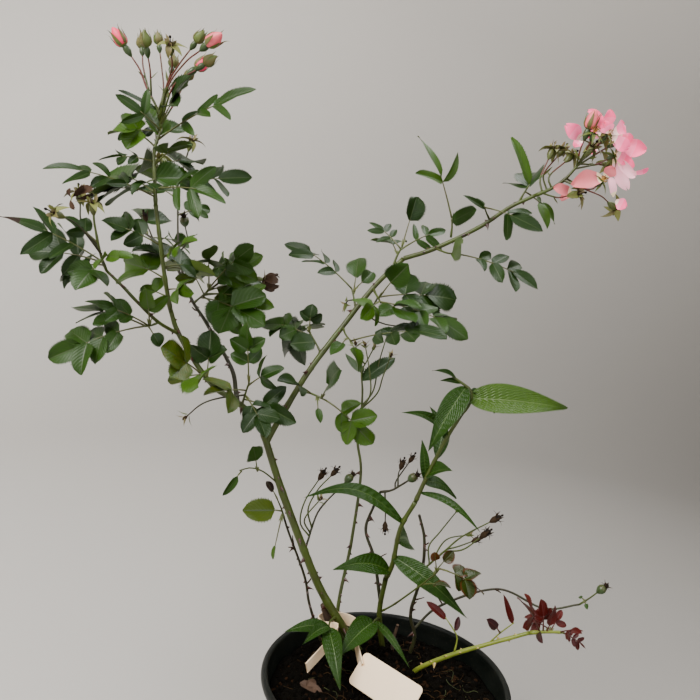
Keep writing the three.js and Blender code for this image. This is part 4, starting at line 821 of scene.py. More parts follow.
def dead_head(heap, at, along, roll):
    """A spent flower: an urn, broad sepals bent back, the brown disc and the column of styles."""
    turn = roll() * 6
    size = 1.08 + vary(roll, 0.15)
    calyx(heap, at, along, "hip_olive", size)
    top = at + along * 7.4 * size
    widths = [5 * size * w for w in SPENT_WIDTHS]
    for k in range(5):
        out = spoke(along, turn + 2 * math.pi * k / 5 + vary(roll, 0.25))
        lean, curl, reach = 1.1 + 1.2 * roll(), 0.9 + vary(roll, 0.7), (9 + 3 * roll()) * size
        paint = "sepal_olive" if k % 3 == 1 else "sepal_pale"
        curled_sepal(heap, top + out * 1.2, along, out, lean, curl, reach, widths, paint, -0.35)
    for k in range(7):
        out = spoke(along, turn + 0.9 * k + vary(roll, 0.3))
        end = top + out * (2.5 + 3 * roll()) * size + along * (1 + 5 * roll()) * size
        line = [top + out * 1.4, (top + end) / 2 + along * 0.8 + out * 0.9, end]
        facing = along.cross(out) + along * 0.5
        strip(heap, line, (1.6, 2.6, 0.3), facing, "sepal_pale" if k % 2 else "sepal_straw", cup=-0.3)
    round_form(heap, top, along, "disc", 10, "dry_brown", turn, size)
    for k in range(12):
        out, lean = spoke(along, k * WHORL), 0.5 + 0.5 * roll()
        end = top + out * 2 + towards(along, out, lean) * 2.2
        tube(heap, [top + out * 1.6, end], [0.2, 0.12], 3, "dry_brown", ends=False)
    styles(heap, top + along * 1.4, along, 3.6)


def speck(heap, at, along, roll):
    """The end of a small side shoot: a brown bud between a few small folded leaves."""
    round_form(heap, at, along, "speck", 8, "dry_brown", roll() * 6)
    sepals(heap, at + along * 1.5, along, 3, 6.5, 2.4, 0.7, 0.5, "sepal_straw", roll() * 6)
    sepals(heap, at - along * 1.5, along, 2, 8, 2.8, 0.9, 0.4, "sepal_green", roll() * 6)


PETAL = dict(
    steps=10, crowd=1.5, bow=(0.1, 0.08), cup=(0.3, 0.2), ripple=0.085, claw=0.14, widest=0.6, rim=0.405,
    uneven=0.1, lean=0.11, roll_back=0.7, notch=0.9, cols=(-1, -0.7, -0.35, 0, 0.35, 0.7, 1),
)


def petal_width(s):
    """A petal's share of its full width, from the claw to the blunt rim."""
    widest = PETAL["widest"]
    if s < widest:
        return PETAL["claw"] + (1 - PETAL["claw"]) * math.sin(math.pi / 2 * s / widest) ** 1.15
    return math.sqrt(1 - ((s - widest) / PETAL["rim"]) ** 2)


def petal(heap, base, tip, facing, width, roll, paints):
    """A broad petal from its narrow claw to a blunt, rolled and lightly waved rim."""
    along = tip - base
    length = along.length
    along.normalize()
    side = facing.cross(along).normalized()
    face = along.cross(side)
    steps, bow, cup = PETAL["steps"], about(roll, *PETAL["bow"]), about(roll, *PETAL["cup"])
    wave, ripple = roll() * 6, PETAL["ripple"] * width
    rows, marks = [], []
    for k in range(steps + 1):
        s = 1 - (1 - k / steps) ** PETAL["crowd"]
        half = petal_width(s)
        half *= width / 2 * (1 + PETAL["uneven"] * math.sin(2 * wave + 9 * s))
        lift = bow * math.sin(math.pi * s) - 0.5 * max(0, s - PETAL["roll_back"]) ** 2
        centre = base + along * (length * s) + face * (length * lift)
        centre += side * (PETAL["lean"] * width * math.sin(3 * wave) * s * s)
        row = []
        for u in PETAL["cols"]:
            lift = cup * half * u * u + ripple * math.sin(wave + 5 * s + 3.4 * u) * s * (0.3 + abs(u))
            notch = along * (0.1 * length * (1 - abs(u)) ** 2 * max(0, s - PETAL["notch"]) * -10)
            row.append(centre + side * (u * half) + face * lift + notch)
            marks.append((u / 2 + 0.5, s))
        rows.append(row)

    def paint(r, c):
        return paints[0 if r < 2 else 1 if r < 5 else 2]

    skin(heap, rows, paint, marks)


def bloom(heap, centre, along, roll):
    """The heart of an open flower: calyx, bent sepals, a ring of stamens and the styles."""
    calyx(heap, centre - along * 6, along, "hip_green", 0.8)
    sepals(heap, centre - along * 0.6, along, 5, 10, 3, 1.7, 0.9, "sepal_green", 0.6)
    for k in range(26):
        out, lean = spoke(along, k * WHORL), 0.25 + 0.55 * roll()
        top = centre + towards(along, out, lean) * (3.8 + 1.8 * roll())
        tube(heap, [centre, top], [0.15, 0.11], 3, "stamen", ends=False)
        round_form(heap, top, along, "anther", 5, "anther")
    styles(heap, centre, along, 3.4)


def open_petals(heap):
    """Each petal where it stands in the photograph, from its claw to its rim."""
    roll = dice(61)
    for base, tip, width, turn, kind in PETALS:
        start, end = seen(*base), seen(*tip)
        ahead = (end - start).normalized()
        facing = square_to(EYE - start, ahead)
        petal(heap, start, end, Quaternion(ahead, turn) @ facing, width, roll, PETAL_TONES[kind])


ENDS = dict(hip=hip, dead=dead_head, speck=speck)
FLOWERING = ("bud_cluster", "flower_cluster")
FRESH = ("thin_cane_tips", "low_right_tip", "left_side_leaves", "seed_head_twigs", "seed_head_sprays")
OLD_STEMS = (
    "seed_head_twigs", "seed_head_sprays", "thorny_stem_tips", "second_leader_tip", "left_middle_leaves",
)

# Claw, rim, width, turn away from the eye and tones of each petal
PETALS = [
    ((94, 580, 44), (83, 589, 34), 10.5, 0.25, "open"),
    ((108, 588, 36), (98, 601, 26), 8.5, 1.05, "open"),
    ((108, 586, 38), (97, 582, 32), 9.5, 0.35, "open"),
    ((109, 587, 32), (106, 597, 24), 7.5, -0.5, "open"),
    ((112, 588, 33), (112, 602, 24), 8, 0.25, "open"),
    ((115, 586, 30), (124, 593, 34), 11, 0.3, "open"),
    ((114, 586, 29), (109, 594, 25), 9.5, 0.1, "open"),
    ((120, 585, 30), (131, 584, 26), 8.5, 0.5, "open"),
    ((116, 584, 32), (129, 578, 24), 10.5, 0.25, "open"),
    ((120, 581, 38), (141, 576, 26), 12.5, 0.2, "open"),
    ((107, 575, 58), (100, 572, 54), 8, 0.4, "open"),
    ((96, 579, 56), (90, 575, 50), 7.5, 0.5, "open"),
    ((121, 573, 44), (131, 569, 38), 10, 0.3, "open"),
    ((121, 569, 50), (134, 564, 46), 9, -0.4, "open"),
    ((119, 574, 50), (132, 549, 42), 10, 0.45, "pale"),
    ((120, 572, 54), (128, 553, 50), 8, -0.6, "pale"),
    ((122, 570, 46), (137, 559, 36), 8.5, 0.4, "pale"),
    ((133, 561, 38), (145, 564, 34), 6, 0.9, "open"),
    ((114, 555, 40), (92, 550, 24), 13.5, 0.3, "faded"),
    ((114, 556, 50), (120, 564, 46), 9.5, 0.3, "faded"),
    ((93, 543, 44), (80, 545, 36), 9, 0.2, "faded"),
    ((93, 542, 46), (86, 538, 42), 6.5, 0.6, "faded"),
    ((123, 543, 50), (118, 556, 44), 6.5, 0.4, "pale"),
    ((125, 541, 46), (133, 537, 38), 8.5, 0.2, "open"),
    ((-260, 507, -40), (-252, 516, -44), 6, 0.9, "dry"),
    ((-258, 508, -38), (-246, 515, -43), 6.5, -0.7, "dry"),
    ((-257, 506, -36), (-247, 509, -42), 5, 1.1, "dry"),
    ((-260, 506, -41), (-262, 513, -45), 4.5, -1.1, "dry"),
    ((-261, 505, -40), (-258, 499, -46), 4, 0.8, "dry"),
]
PETAL_TONES = dict(
    open=("petal_base", "petal_mid", "petal_rim"), pale=("petal_straw", "petal_pale", "petal_pale"),
    faded=("petal_straw", "petal_faded", "petal_faded"), dry=("petal_dry",) * 3,
)

# Tints that have a place, told by mass and by the leaf's number in its row
TINTS = {
    "left_leader_leaves": {4: "leaf_light", 5: "leaf_light"},
    "left_upper_leaves": {7: "leaf_light", 8: "leaf_light", 11: "leaf_mid", 12: "leaf_mid"},
    "far_left_leaves": {0: "leaf_tipped", 1: "leaf_deep", 4: "leaf_deep"},
    "side_shoot_leaves": {3: "leaf_light"},
    "fork_left_leaves": {0: "leaf_spotted", 1: "leaf_spotted", 3: "leaf_light"},
    "left_middle_leaves": {
        0: "leaf_mid", 1: "leaf_edged", 2: "leaf_light", 3: "leaf_light", 4: "leaf_mid",
        5: "leaf_yellow", 6: "leaf_light", 7: "leaf_yellow", 8: "leaf_mid",
    },
    "fork_right_leaves": {1: "leaf_mid", 2: "leaf_deep", 3: "leaf_spotted", 4: "leaf_deep"},
    "bough_left_leaves": {0: "leaf_mid", 1: "leaf_deep", 2: "leaf_deep", 3: "leaf_deep"},
    "arch_upper_leaves": {0: "leaf_light"},
    "arch_end_leaves": {0: "leaf_light"},
    "left_side_leaves": {0: "leaf_yellow", 1: "leaf_brown", 2: "leaf_light"},
    "cane_leaf": {0: "leaf_mid", 1: "leaf_mid"},
    "glossy_leaves": {0: "leaf_glossy", 1: "leaf_amber", 2: "leaf_glossy", 3: "leaf_glossy"},
    "low_right_tip": {0: "leaf_mid", 1: "leaf_mid"},
}
PINK_BUDS = {
    "bud_cluster": {-1: "petal_deep", 7: "petal_deep", 6: "petal_bud"},
    "flower_cluster": {3: "petal_bud"},
}
# Body, edge and tip of leaves in two tones
TWO_TONED = dict(
    leaf_edged=("leaf_mid", "leaf_yellow", None), leaf_glossy=("leaf_glossy", "leaf_amber", None),
    leaf_tipped=("leaf_deep", None, "leaf_brown"),
)
RIBS = dict(leaf_red="rib_red", leaf_purple="rib_red", lance_light="rib_pale", lance_deep="rib_pale")
BARKS = dict(green="bark_green", dark="bark_dark", young="bark_young", brown="bark_dead")


STEM_BARKS = dict(
    bud_cluster="pedicel", red_leaves="bark_young", red_side_leaves="bark_young", red_low_leaves="bark_young",
    inner_seed_heads="bark_dark", second_leader_tip="bark_dark", thorny_stem_tips="bark_dark",
    seed_head_twigs="bark_dark",
)


def bark_of(limb):
    return BARKS[limb["bark"]]


def dress_lance(heaps, mass, number, base, row, roll, looks):
    """Grows one of the long quilted leaves, its foot sunk a little into the stem."""
    shape = grow_lance(base, seen(*row["tip"]), roll, row["broad"], row["arch"])
    shape["root"] = shape["root"] - shape["along"] * LANCE["sink"]
    # The top right long leaf gets the lighter finish: painted light where that leaf is lit.
    paint = "lance_light" if mass["name"] == "lance_top_leaves" and number == 0 else "lance_deep"
    leaf_blade(heaps["lance_leaves"], shape, "lance", looks, paint, "rib_pale")


def dress_leaf(heaps, mass, number, base, row, roll, looks):
    """Grows one compound leaf of a mass with the tint of its place."""
    red = mass.get("kind") == "red"
    form = {key: row[key] for key in ("broad", "face", "stalk") if key in row}
    bow, leaflets = grow_leaf(base, row.get("end") or seen(*row["tip"]), row["pairs"], roll, **form)
    pick = looks()
    if red:
        paint = "leaf_purple" if pick < 0.15 else "leaf_red"
    else:
        paint = "leaf_deep" if pick < 0.42 else "leaf_mid" if pick < 0.84 else "leaf_light"
        paint = TINTS.get(mass["name"], {}).get(number, paint)
    body, edge, tip = TWO_TONED.get(paint, (paint, None, None))
    heap, rib = heaps["red_leaves" if red else "rose_leaves"], RIBS.get(body, "rib_green")
    for k, leaflet in enumerate(leaflets):
        leaflet["width"] *= (WIDER if "broad" in row else WIDEST) * (1 + vary(looks, 0.1))
        leaf_blade(heap, leaflet, "rose", looks, body, rib, edge, tip if k == 0 else None)
    if leaflets[0]["part"] > 0:
        count, reach = 7, leaflets[0]["part"] + 0.04
        spots = [bow.at(reach * k / count) for k in range(count + 1)]
        radii = [0.75 - 0.4 * k / count for k in range(count + 1)]
        tube(heaps["twigs"], spots, radii, 6, "petiole_red" if red else "petiole")
        stipules(heaps["twigs"], bow, "sepal_green")


def fill_leaf(stem, roll):
    """A leaf that fills the crown behind or before its stem."""
    at = 0.25 + 0.7 * roll()
    depth = 1 if roll() < 0.7 else -1
    aim = Vector((vary(roll, 0.6), depth, 0.15 + vary(roll, 0.35))).normalized()
    reach = taper((FILL["near"], FILL["far"]), roll())
    return dict(at=at, end=stem.at(at) + aim * reach, pairs=2 if roll() < 0.5 else 1)


def shoot(heap, route, girth, sides, paint, step=4.0, knots=0.0):
    """A stem or twig with a slightly uneven skin; a flower's stalk starts green and turns red."""
    count = max(4, math.ceil(route.length / step))

    def stalk_paint(r, c):
        return "bark_green" if r < 0.42 * count else "pedicel"

    spots, radii = [], []
    for k in range(count + 1):
        share = k / count
        spots.append(route.at(share))
        knot = knots * max(0, math.sin(share * route.length * 0.35)) ** 6
        radii.append(taper(girth, share) * (1 + 0.05 * noise.noise(spots[-1] * 0.13) + knot))
    tube(heap, spots, radii, sides, stalk_paint if paint == "pedicel" else paint)


def bract(heap, route, part, roll):
    """A small narrow leaf where a flower's stalk leaves its fork."""
    ahead, root = route.forward(part), route.at(part)
    out = Quaternion(ahead, roll() * 6.28) @ cross_of(ahead)[0]
    aim = (ahead + out * 0.9).normalized()
    reach = 5 + 4 * roll()
    line = [root + aim * reach * s + out * 1.5 * s * s for s in (0, 0.25, 0.5, 0.75, 1)]
    strip(heap, line, (0.7, 1.9, 2.1, 1.3, 0.1), aim.cross(out.cross(aim)), "sepal_green", cup=0.3)


def end_twig(heaps, mass, number, kind, at, along, roll):
    """What a twig carries: a bud, an open flower or a head of its kind, if anything."""
    name, heap = mass["name"], heaps["seed_heads"]
    if kind == "bud":
        bud(heap, at, along, roll, PINK_BUDS.get(name, {}).get(number, "sepal_green"))
    elif kind == "bloom":
        bloom(heaps["blossom"], at, along, roll)
    elif kind == "dead" and name in OLD_STEMS:
        (rumpled_head if name == "left_middle_leaves" else dry_head)(heap, at, along, roll)
    elif kind:
        ENDS[kind](heap, at, along, roll)


def dress_mass(heaps, mass, order):
    """One stem with its twigs and what they carry, and its leaves."""
    stem = Route([seen(*spot) for spot in mass["stem"]])
    name, roll, looks = mass["name"], dice(order), dice(order + 500)
    shoot(heaps["twigs"], stem, mass["girth"], STEM["sides"], STEM_BARKS.get(name, "bark_green"), knots=0.25)
    end_twig(heaps, mass, -1, mass.get("end"), stem.at(1), stem.forward(1), looks)
    thin = "pedicel" if name in FLOWERING else "bark_green" if name in FRESH else "bark_dark"
    for number, row in enumerate(mass["twigs"]):
        line = Route([stem.on_axis(row["at"], STEM["step"]), *(seen(*spot) for spot in row["way"])])
        shoot(heaps["twigs"], line, TWIG["girth"], TWIG["sides"], thin, TWIG["step"])
        end_twig(heaps, mass, number, row["end"], line.at(1), line.forward(1), looks)
        if thin == "pedicel":
            bract(heaps["twigs"], line, 0.3 + 0.2 * looks(), looks)
    extra = [fill_leaf(stem, roll) for _ in range(mass.get("fill", 0))]
    for number, row in enumerate([*mass["leaves"], *extra]):
        dress = dress_lance if "arch" in row else dress_leaf
        dress(heaps, mass, number, stem.on_axis(row["at"], STEM["step"]), row, roll, looks)


# Canes with their bark and thorns


def hook(heap, root, aim, down, reach, foot, paint):
    """A thorn: long-footed, flattened and bent down to a sharp point."""
    side = aim.cross(down).normalized()
    angles = [-2 * math.pi * j / THORN["sides"] for j in range(THORN["sides"])]
    rows = []
    for s in THORN["steps"]:
        centre = root + aim * (reach * s) + down * (THORN["bend"] * reach * s * s)
        long = foot * THORN["foot"] * (1 - s) ** 1.3 + THORN["point"]
        thin = foot * (1 - s) ** 0.8 + THORN["point"]
        rows.append([centre + down * (long * math.cos(a)) + side * (thin * math.sin(a)) for a in angles])
    skin(heap, rows, lambda r, c: paint if r < 3 else "thorn_tip", loop=True)


def set_thorn(heaps, limb, route, part, roll, sunk, size):
    """A thorn at its part of a cane, turned to any side; the cane's radius there gives its size."""
    ahead, radius = route.forward(part), taper(limb["girth"], part)
    out = square_to(compass(roll), ahead)
    reach, foot = size(radius)
    paint = "thorn_pale" if bark_of(limb) == "bark_young" else "thorn"
    down = (-ahead).normalized()
    hook(heaps["thorns"], route.at(part) + out * sunk * radius, out, down, reach, foot, paint)


def dress_limb(heaps, limb, order):
    """A cane with its uneven skin, its joints and its thorns."""
    route, bark = Route([seen(*spot) for spot in limb["way"]]), bark_of(limb)
    count = max(4, math.ceil(route.length / CANE["step"]))
    rough = CANE["old"] if bark == "bark_dead" else CANE["rough"]
    forward = route.forward(0)
    level, over = cross_of(forward)
    rows, marks = [], []
    for k in range(count + 1):
        share = k / count
        centre, ahead, radius = route.at(share), route.forward(share), taper(limb["girth"], share)
        turn = forward.rotation_difference(ahead)
        level, over, forward = turn @ level, turn @ over, ahead
        joint = max(0, math.sin(share * route.length / CANE["joint"] * math.pi + order)) ** 12
        row = []
        for j in range(CANE["sides"]):
            out = towards(level, over, -2 * math.pi * j / CANE["sides"])
            run = out.z * 2.4 + share * route.length * 0.09 + order
            grain = noise.noise(Vector((out.x * 2.4, out.y * 2.4, run)))
            lump = noise.noise((centre + out * radius) * 0.2)
            row.append(centre + out * radius * (1 + rough * (grain + lump) + 0.09 * joint))
            marks.append((j / CANE["sides"], share))
        rows.append(row)
    skin(heaps[bark], rows, bark, marks, loop=True, ends=True)
    roll, thorns = dice(order), limb["thorns"]

    def thorn_size(radius):
        return 0.4 * radius + 1.5 * THORN["length"], 0.6 + 0.18 * radius

    for k in range(thorns):
        part = 0.1 + 0.85 * ((k + 0.3 + 0.4 * roll()) / thorns)
        set_thorn(heaps, limb, route, part, roll, 0.7, thorn_size)
    small_growths(heaps, limb, route, dice(order + 300))


def small_growths(heaps, limb, route, looks):
    """Smaller prickles between the thorns, and on dark canes the dried ends of lost twigs."""
    count = round(route.length / THORN["apart"]) if limb["thorns"] else 0
    for k in range(count):
        part = 0.06 + 0.9 * (k + looks()) / count
        set_thorn(heaps, limb, route, part, looks, 0.8, lambda r: (1.4 + 1.6 * looks(), 0.5 + 0.1 * r))
    for _ in range(3 if bark_of(limb) == "bark_dark" else 0):
        part, out, reach = 0.2 + 0.75 * looks(), compass(looks), 5 + 11 * looks() ** 2
        aim = (out + route.forward(part) * 0.8).normalized()
        root = route.at(part)
        bend = root + aim * reach * 0.55 + UP * vary(looks, 1.5)
        stub = Route([root, bend, root + aim * reach])
        shoot(heaps["twigs"], stub, (0.75, 0.4), 6, "dry_brown", TWIG["step"], knots=0.3)


# Finishes


def tone(red, green, blue):
    """A plain colour from its 0 to 255 screen values."""
    linear = [((v / 255 + 0.055) / 1.055) ** 2.4 if v > 10 else v / 3295 for v in (red, green, blue)]
    return (*linear, 1.0)


def put(tree, kind, sockets=None, **settings):
    """Adds a shader node; a socket is fed by a value or by another node's output."""
    made = tree.nodes.new(kind)
    for key, value in settings.items():
        setattr(made, key, value)
    for key, value in (sockets or {}).items():
        if isinstance(value, bpy.types.NodeSocket):
            tree.links.new(value, made.inputs[key])
        else:
            made.inputs[key].default_value = value
    return made


def maths(tree, operation, *values):
    """A calculation with one to three values or sockets."""
    return put(tree, "ShaderNodeMath", dict(enumerate(values)), operation=operation).outputs[0]


def vectors(tree, operation, first, second):
    return put(tree, "ShaderNodeVectorMath", {0: first, 1: second}, operation=operation).outputs[0]


SOCKETS = {float: "NodeSocketFloat", int: "NodeSocketInt", tuple: "NodeSocketColor"}


def effect(name, family, inputs, outputs):
    """An empty node group; inputs are named by their first values or their kinds."""
    tree = bpy.data.node_groups.new(name, family)
    for label, value in inputs.items():
        kind = value if isinstance(value, str) else SOCKETS[type(value)]
        socket = tree.interface.new_socket(name=label, in_out="INPUT", socket_type=kind)
        if kind != value:
            socket.default_value = value
    for label, kind in outputs.items():
        tree.interface.new_socket(name=label, in_out="OUTPUT", socket_type=kind)
    return tree, tree.nodes.new("NodeGroupInput").outputs, tree.nodes.new("NodeGroupOutput").inputs


def use(tree, group, sockets):
    return put(tree, "ShaderNodeGroup", sockets, node_tree=group).outputs


def blend(tree, share, first, second):
    """The colour between two others at a share of the way."""
    mix = put(tree, "ShaderNodeMix", {"Factor": share, "A": first, "B": second}, data_type="RGBA")
    return [socket for socket in mix.outputs if socket.type == "RGBA"][0]


def ramp(tree, value, start, end, first=0.0, last=1.0):
    """A value stretched from one range to another."""
    ranges = {"Value": value, "From Min": start, "From Max": end, "To Min": first, "To Max": last}
    return put(tree, "ShaderNodeMapRange", ranges).outputs["Result"]


def clouds(tree, place, scale, detail):
    return put(tree, "ShaderNodeTexNoise", {"Vector": place, "Scale": scale, "Detail": detail}).outputs


def own_place(tree):
    return put(tree, "ShaderNodeTexCoord").outputs["Object"]


def make_mottle():
    """Uneven colour: a second shade in soft patches and fine flecks."""
    inputs = {"Colour": (0.5, 0.5, 0.5, 1), "Shade": (0.2, 0.2, 0.2, 1), "Scale": 40.0, "Amount": 0.5}
    outputs = {"Colour": "NodeSocketColor", "Patches": "NodeSocketFloat"}
    tree, given, out = effect("mottle", "ShaderNodeTree", inputs, outputs)
    rise = ramp(tree, clouds(tree, own_place(tree), given["Scale"], 3.0)["Fac"], 0.35, 0.7)
    share = maths(tree, "MULTIPLY", rise, given["Amount"])
    tree.links.new(blend(tree, share, given["Colour"], given["Shade"]), out["Colour"])
    tree.links.new(rise, out["Patches"])
    return tree


def make_veins():
    """Side veins that leave the midrib at a slant, as grooves and as a pale mask."""
    outputs = {"Height": "NodeSocketFloat", "Mask": "NodeSocketFloat"}
    tree, given, out = effect("leaf veins", "ShaderNodeTree", {"Count": 8.0, "Slant": 0.35}, outputs)
    surface = put(tree, "ShaderNodeUVMap", uv_map="surface").outputs["UV"]
    parts = put(tree, "ShaderNodeSeparateXYZ", {0: surface}).outputs
    across = maths(tree, "ABSOLUTE", maths(tree, "MULTIPLY_ADD", parts["X"], 2.0, -1.0))
    slid = maths(tree, "SUBTRACT", parts["Y"], maths(tree, "MULTIPLY", across, given["Slant"]))
    beat = maths(tree, "MULTIPLY", maths(tree, "MULTIPLY", slid, given["Count"]), math.pi)
    swell = maths(tree, "ABSOLUTE", maths(tree, "SINE", beat))
    tree.links.new(maths(tree, "POWER", swell, 0.5), out["Height"])
    tree.links.new(ramp(tree, swell, 0.0, 0.22, 1.0, 0.0), out["Mask"])
    return tree


def make_grain():
    """Fine grain drawn out along the height, for bark."""
    inputs = {"Scale": 400.0, "Stretch": 0.15}
    tree, given, out = effect("bark grain", "ShaderNodeTree", inputs, {"Height": "NodeSocketFloat"})
    thin = put(tree, "ShaderNodeCombineXYZ", {0: 1.0, 1: 1.0, 2: given["Stretch"]}).outputs[0]
    drawn = vectors(tree, "MULTIPLY", own_place(tree), thin)
    tree.links.new(clouds(tree, drawn, given["Scale"], 4.0)["Fac"], out["Height"])
    return tree


MOTTLE, VEINS, GRAIN = make_mottle(), make_veins(), make_grain()


def new_finish(name, roughness, **sockets):
    """A material with its shader; sockets are plain values of that shader."""
    material = bpy.data.materials.new(name)
    material.use_nodes = True
    tree = material.node_tree
    shader = tree.nodes["Principled BSDF"]
    shader.inputs["Roughness"].default_value = roughness
    for label, value in sockets.items():
        shader.inputs[label.replace("_", " ")].default_value = value
    return tree, shader


def relief(tree, shader, height, strength, distance=0.0006):
    bump = put(tree, "ShaderNodeBump", {"Height": height, "Strength": strength, "Distance": distance})
    tree.links.new(bump.outputs["Normal"], shader.inputs["Normal"])


def leaf_finish(
    name, colour, shade, under, roughness=0.4, count=8.0, vein=0.22, amount=0.5, scale=60.0, depth=0.22
):
    """A leaf's skin: mottled, with paler veins and a duller underside."""
    tree, shader = new_finish(name, roughness, Specular_IOR_Level=0.22)
    colour = tone(*colour)
    mottled = use(tree, MOTTLE, {"Colour": colour, "Shade": tone(*shade), "Scale": scale, "Amount": amount})
    veins = use(tree, VEINS, {"Count": count})
    pale = tuple(min(1, 1.6 * c + 0.02) for c in colour[:3]) + (1.0,)
    lined = blend(tree, maths(tree, "MULTIPLY", veins["Mask"], vein), mottled["Colour"], pale)
    back = put(tree, "ShaderNodeNewGeometry").outputs["Backfacing"]
    tree.links.new(blend(tree, back, lined, tone(*under)), shader.inputs["Base Color"])
    relief(tree, shader, veins["Height"], depth)


def plain_finish(
    name, colour, shade, roughness,
    scale=90.0, amount=0.5, bump=0.2, grain=500.0, stretch=0.5, glow=0.0, **sockets
):
    """A mottled and lightly grained skin in two shades, which can carry a painted glow: light of its own
    colour though it is no lamp.
    """
    tree, shader = new_finish(name, roughness, **sockets)
    colour = tone(*colour)
    # Painted glow: the skin gives out light of its own colour, though it is no lamp.
    if glow is not None:
        shader.inputs["Emission Color"].default_value = colour
        shader.inputs["Emission Strength"].default_value = glow
    mottled = use(tree, MOTTLE, {"Colour": colour, "Shade": tone(*shade), "Scale": scale, "Amount": amount})
    tree.links.new(mottled["Colour"], shader.inputs["Base Color"])
    relief(tree, shader, use(tree, GRAIN, {"Scale": grain, "Stretch": stretch})["Height"], bump)


WOODY = dict(
    scale=95.0, amount=0.75, grain=650.0, stretch=0.12, bump=0.35, glow=None, Specular_IOR_Level=0.35,
)
DUSTY = dict(bump=0.8, amount=0.8, Specular_IOR_Level=0.05)
# The petals' finish: a real silky sheen and a painted glow of their own colour.
SILKY_PAINTED_GLOW = dict(bump=0.12, glow=0.32, Sheen_Weight=0.2)
QUILTED = dict(count=15.0)

# A leaf has its colour, shade and underside, any other finish its colour, shade and roughness
leaf_finish("leaf_deep", (24, 48, 4), (17, 36, 3), (50, 70, 24), vein=0.06)
leaf_finish("leaf_mid", (35, 63, 6), (25, 47, 4), (60, 80, 32), vein=0.08)
leaf_finish("leaf_light", (51, 80, 8), (38, 64, 6), (74, 92, 32), vein=0.1)
leaf_finish("leaf_spotted", (52, 72, 12), (68, 72, 15), (76, 86, 30), amount=0.9, scale=260.0, vein=0.1)
leaf_finish("leaf_yellow", (64, 80, 9), (52, 68, 9), (84, 92, 30), vein=0.1)
leaf_finish("leaf_amber", (66, 38, 12), (50, 26, 8), (70, 48, 22), roughness=0.25, vein=0.1)
leaf_finish("leaf_glossy", (37, 48, 11), (50, 34, 11), (62, 62, 25), roughness=0.18, vein=0.12)
leaf_finish("leaf_brown", (38, 23, 15), (21, 14, 10), (56, 40, 30), roughness=0.8, vein=0.05)
leaf_finish("leaf_red", (70, 11, 6), (46, 8, 6), (80, 24, 16), roughness=0.35, vein=0.1)
leaf_finish("leaf_purple", (46, 15, 18), (30, 11, 15), (56, 30, 32), roughness=0.4, vein=0.1)
# The long leaves' finish, made lighter for the one lit leaf: painted light.
leaf_finish("lance_light", (58, 84, 22), (44, 68, 14), (82, 100, 44), 0.28, depth=0.8, **QUILTED)
leaf_finish("lance_deep", (34, 63, 5), (25, 49, 4), (60, 80, 34), 0.32, vein=0.14, depth=0.7, **QUILTED)
plain_finish("rib_green", (44, 62, 17), (36, 54, 13), 0.45)
plain_finish("rib_pale", (70, 92, 34), (56, 76, 26), 0.45)
plain_finish("rib_red", (76, 22, 16), (54, 15, 12), 0.45)
plain_finish("bark_green", (62, 75, 23), (48, 48, 20), 0.4, **WOODY)
plain_finish("bark_dark", (41, 44, 19), (37, 25, 16), 0.55, **WOODY)
plain_finish("bark_young", (113, 123, 40), (90, 102, 33), 0.36, **dict(WOODY, bump=0.2))
plain_finish("bark_dead", (71, 54, 39), (44, 33, 25), 0.85, **dict(WOODY, bump=0.8))
plain_finish("pedicel", (89, 33, 23), (64, 52, 23), 0.45)
plain_finish("petiole", (67, 77, 27), (74, 50, 26), 0.45)
plain_finish("petiole_red", (78, 30, 21), (62, 24, 19), 0.45)
plain_finish("sepal_green", (84, 100, 38), (88, 86, 40), 0.55, scale=260.0)
plain_finish("sepal_olive", (92, 92, 42), (98, 74, 44), 0.6, scale=260.0)
plain_finish("sepal_pale", (110, 116, 62), (98, 92, 50), 0.6, scale=260.0, Specular_IOR_Level=0.2)
plain_finish("hip_green", (44, 66, 24), (52, 64, 26), 0.4)
plain_finish("sepal_straw", (130, 120, 82), (106, 90, 58), 0.7, scale=260.0)
plain_finish("hip_olive", (76, 88, 36), (78, 68, 32), 0.45)
plain_finish("hip_ripe", (58, 66, 24), (66, 56, 22), 0.4)
plain_finish("dry_brown", (54, 41, 28), (34, 26, 18), 0.85, Specular_IOR_Level=0.1)
plain_finish("dry_dark", (25, 19, 14), (13, 10, 8), 0.8, Specular_IOR_Level=0.1)
plain_finish("thorn", (60, 28, 16), (44, 18, 12), 0.35)
plain_finish("thorn_pale", (160, 146, 82), (150, 108, 64), 0.4)
plain_finish("thorn_tip", (40, 20, 12), (28, 12, 9), 0.35)
# Petals and buds: painted glow, light of their own colour, though they are no lamp.
plain_finish("petal_rim", (253, 96, 146), (248, 78, 130), 0.6, amount=0.4, **SILKY_PAINTED_GLOW)
plain_finish("petal_mid", (254, 128, 168), (251, 106, 150), 0.6, amount=0.4, **SILKY_PAINTED_GLOW)
plain_finish("petal_base", (246, 210, 200), (242, 184, 180), 0.6, amount=0.4, **SILKY_PAINTED_GLOW)
plain_finish("petal_deep", (230, 56, 96), (216, 42, 80), 0.5, bump=0.12, glow=0.12)
plain_finish("petal_faded", (214, 116, 122), (198, 92, 100), 0.65, glow=0.32)
plain_finish("petal_pale", (252, 188, 204), (248, 160, 184), 0.6, **SILKY_PAINTED_GLOW)
plain_finish("petal_straw", (244, 222, 180), (240, 196, 176), 0.6, bump=0.12, glow=0.32)
plain_finish("petal_dry", (70, 52, 40), (44, 33, 26), 0.9, scale=300.0, bump=0.5, Specular_IOR_Level=0.1)
plain_finish("petal_bud", (222, 100, 110), (206, 76, 88), 0.5, bump=0.12, glow=0.12)
plain_finish("stamen", (196, 150, 62), (176, 118, 48), 0.6)
plain_finish("anther", (132, 78, 32), (92, 52, 26), 0.7)
plain_finish("tag_card", (250, 224, 188), (243, 214, 176), 0.42, scale=30.0, bump=0.05)
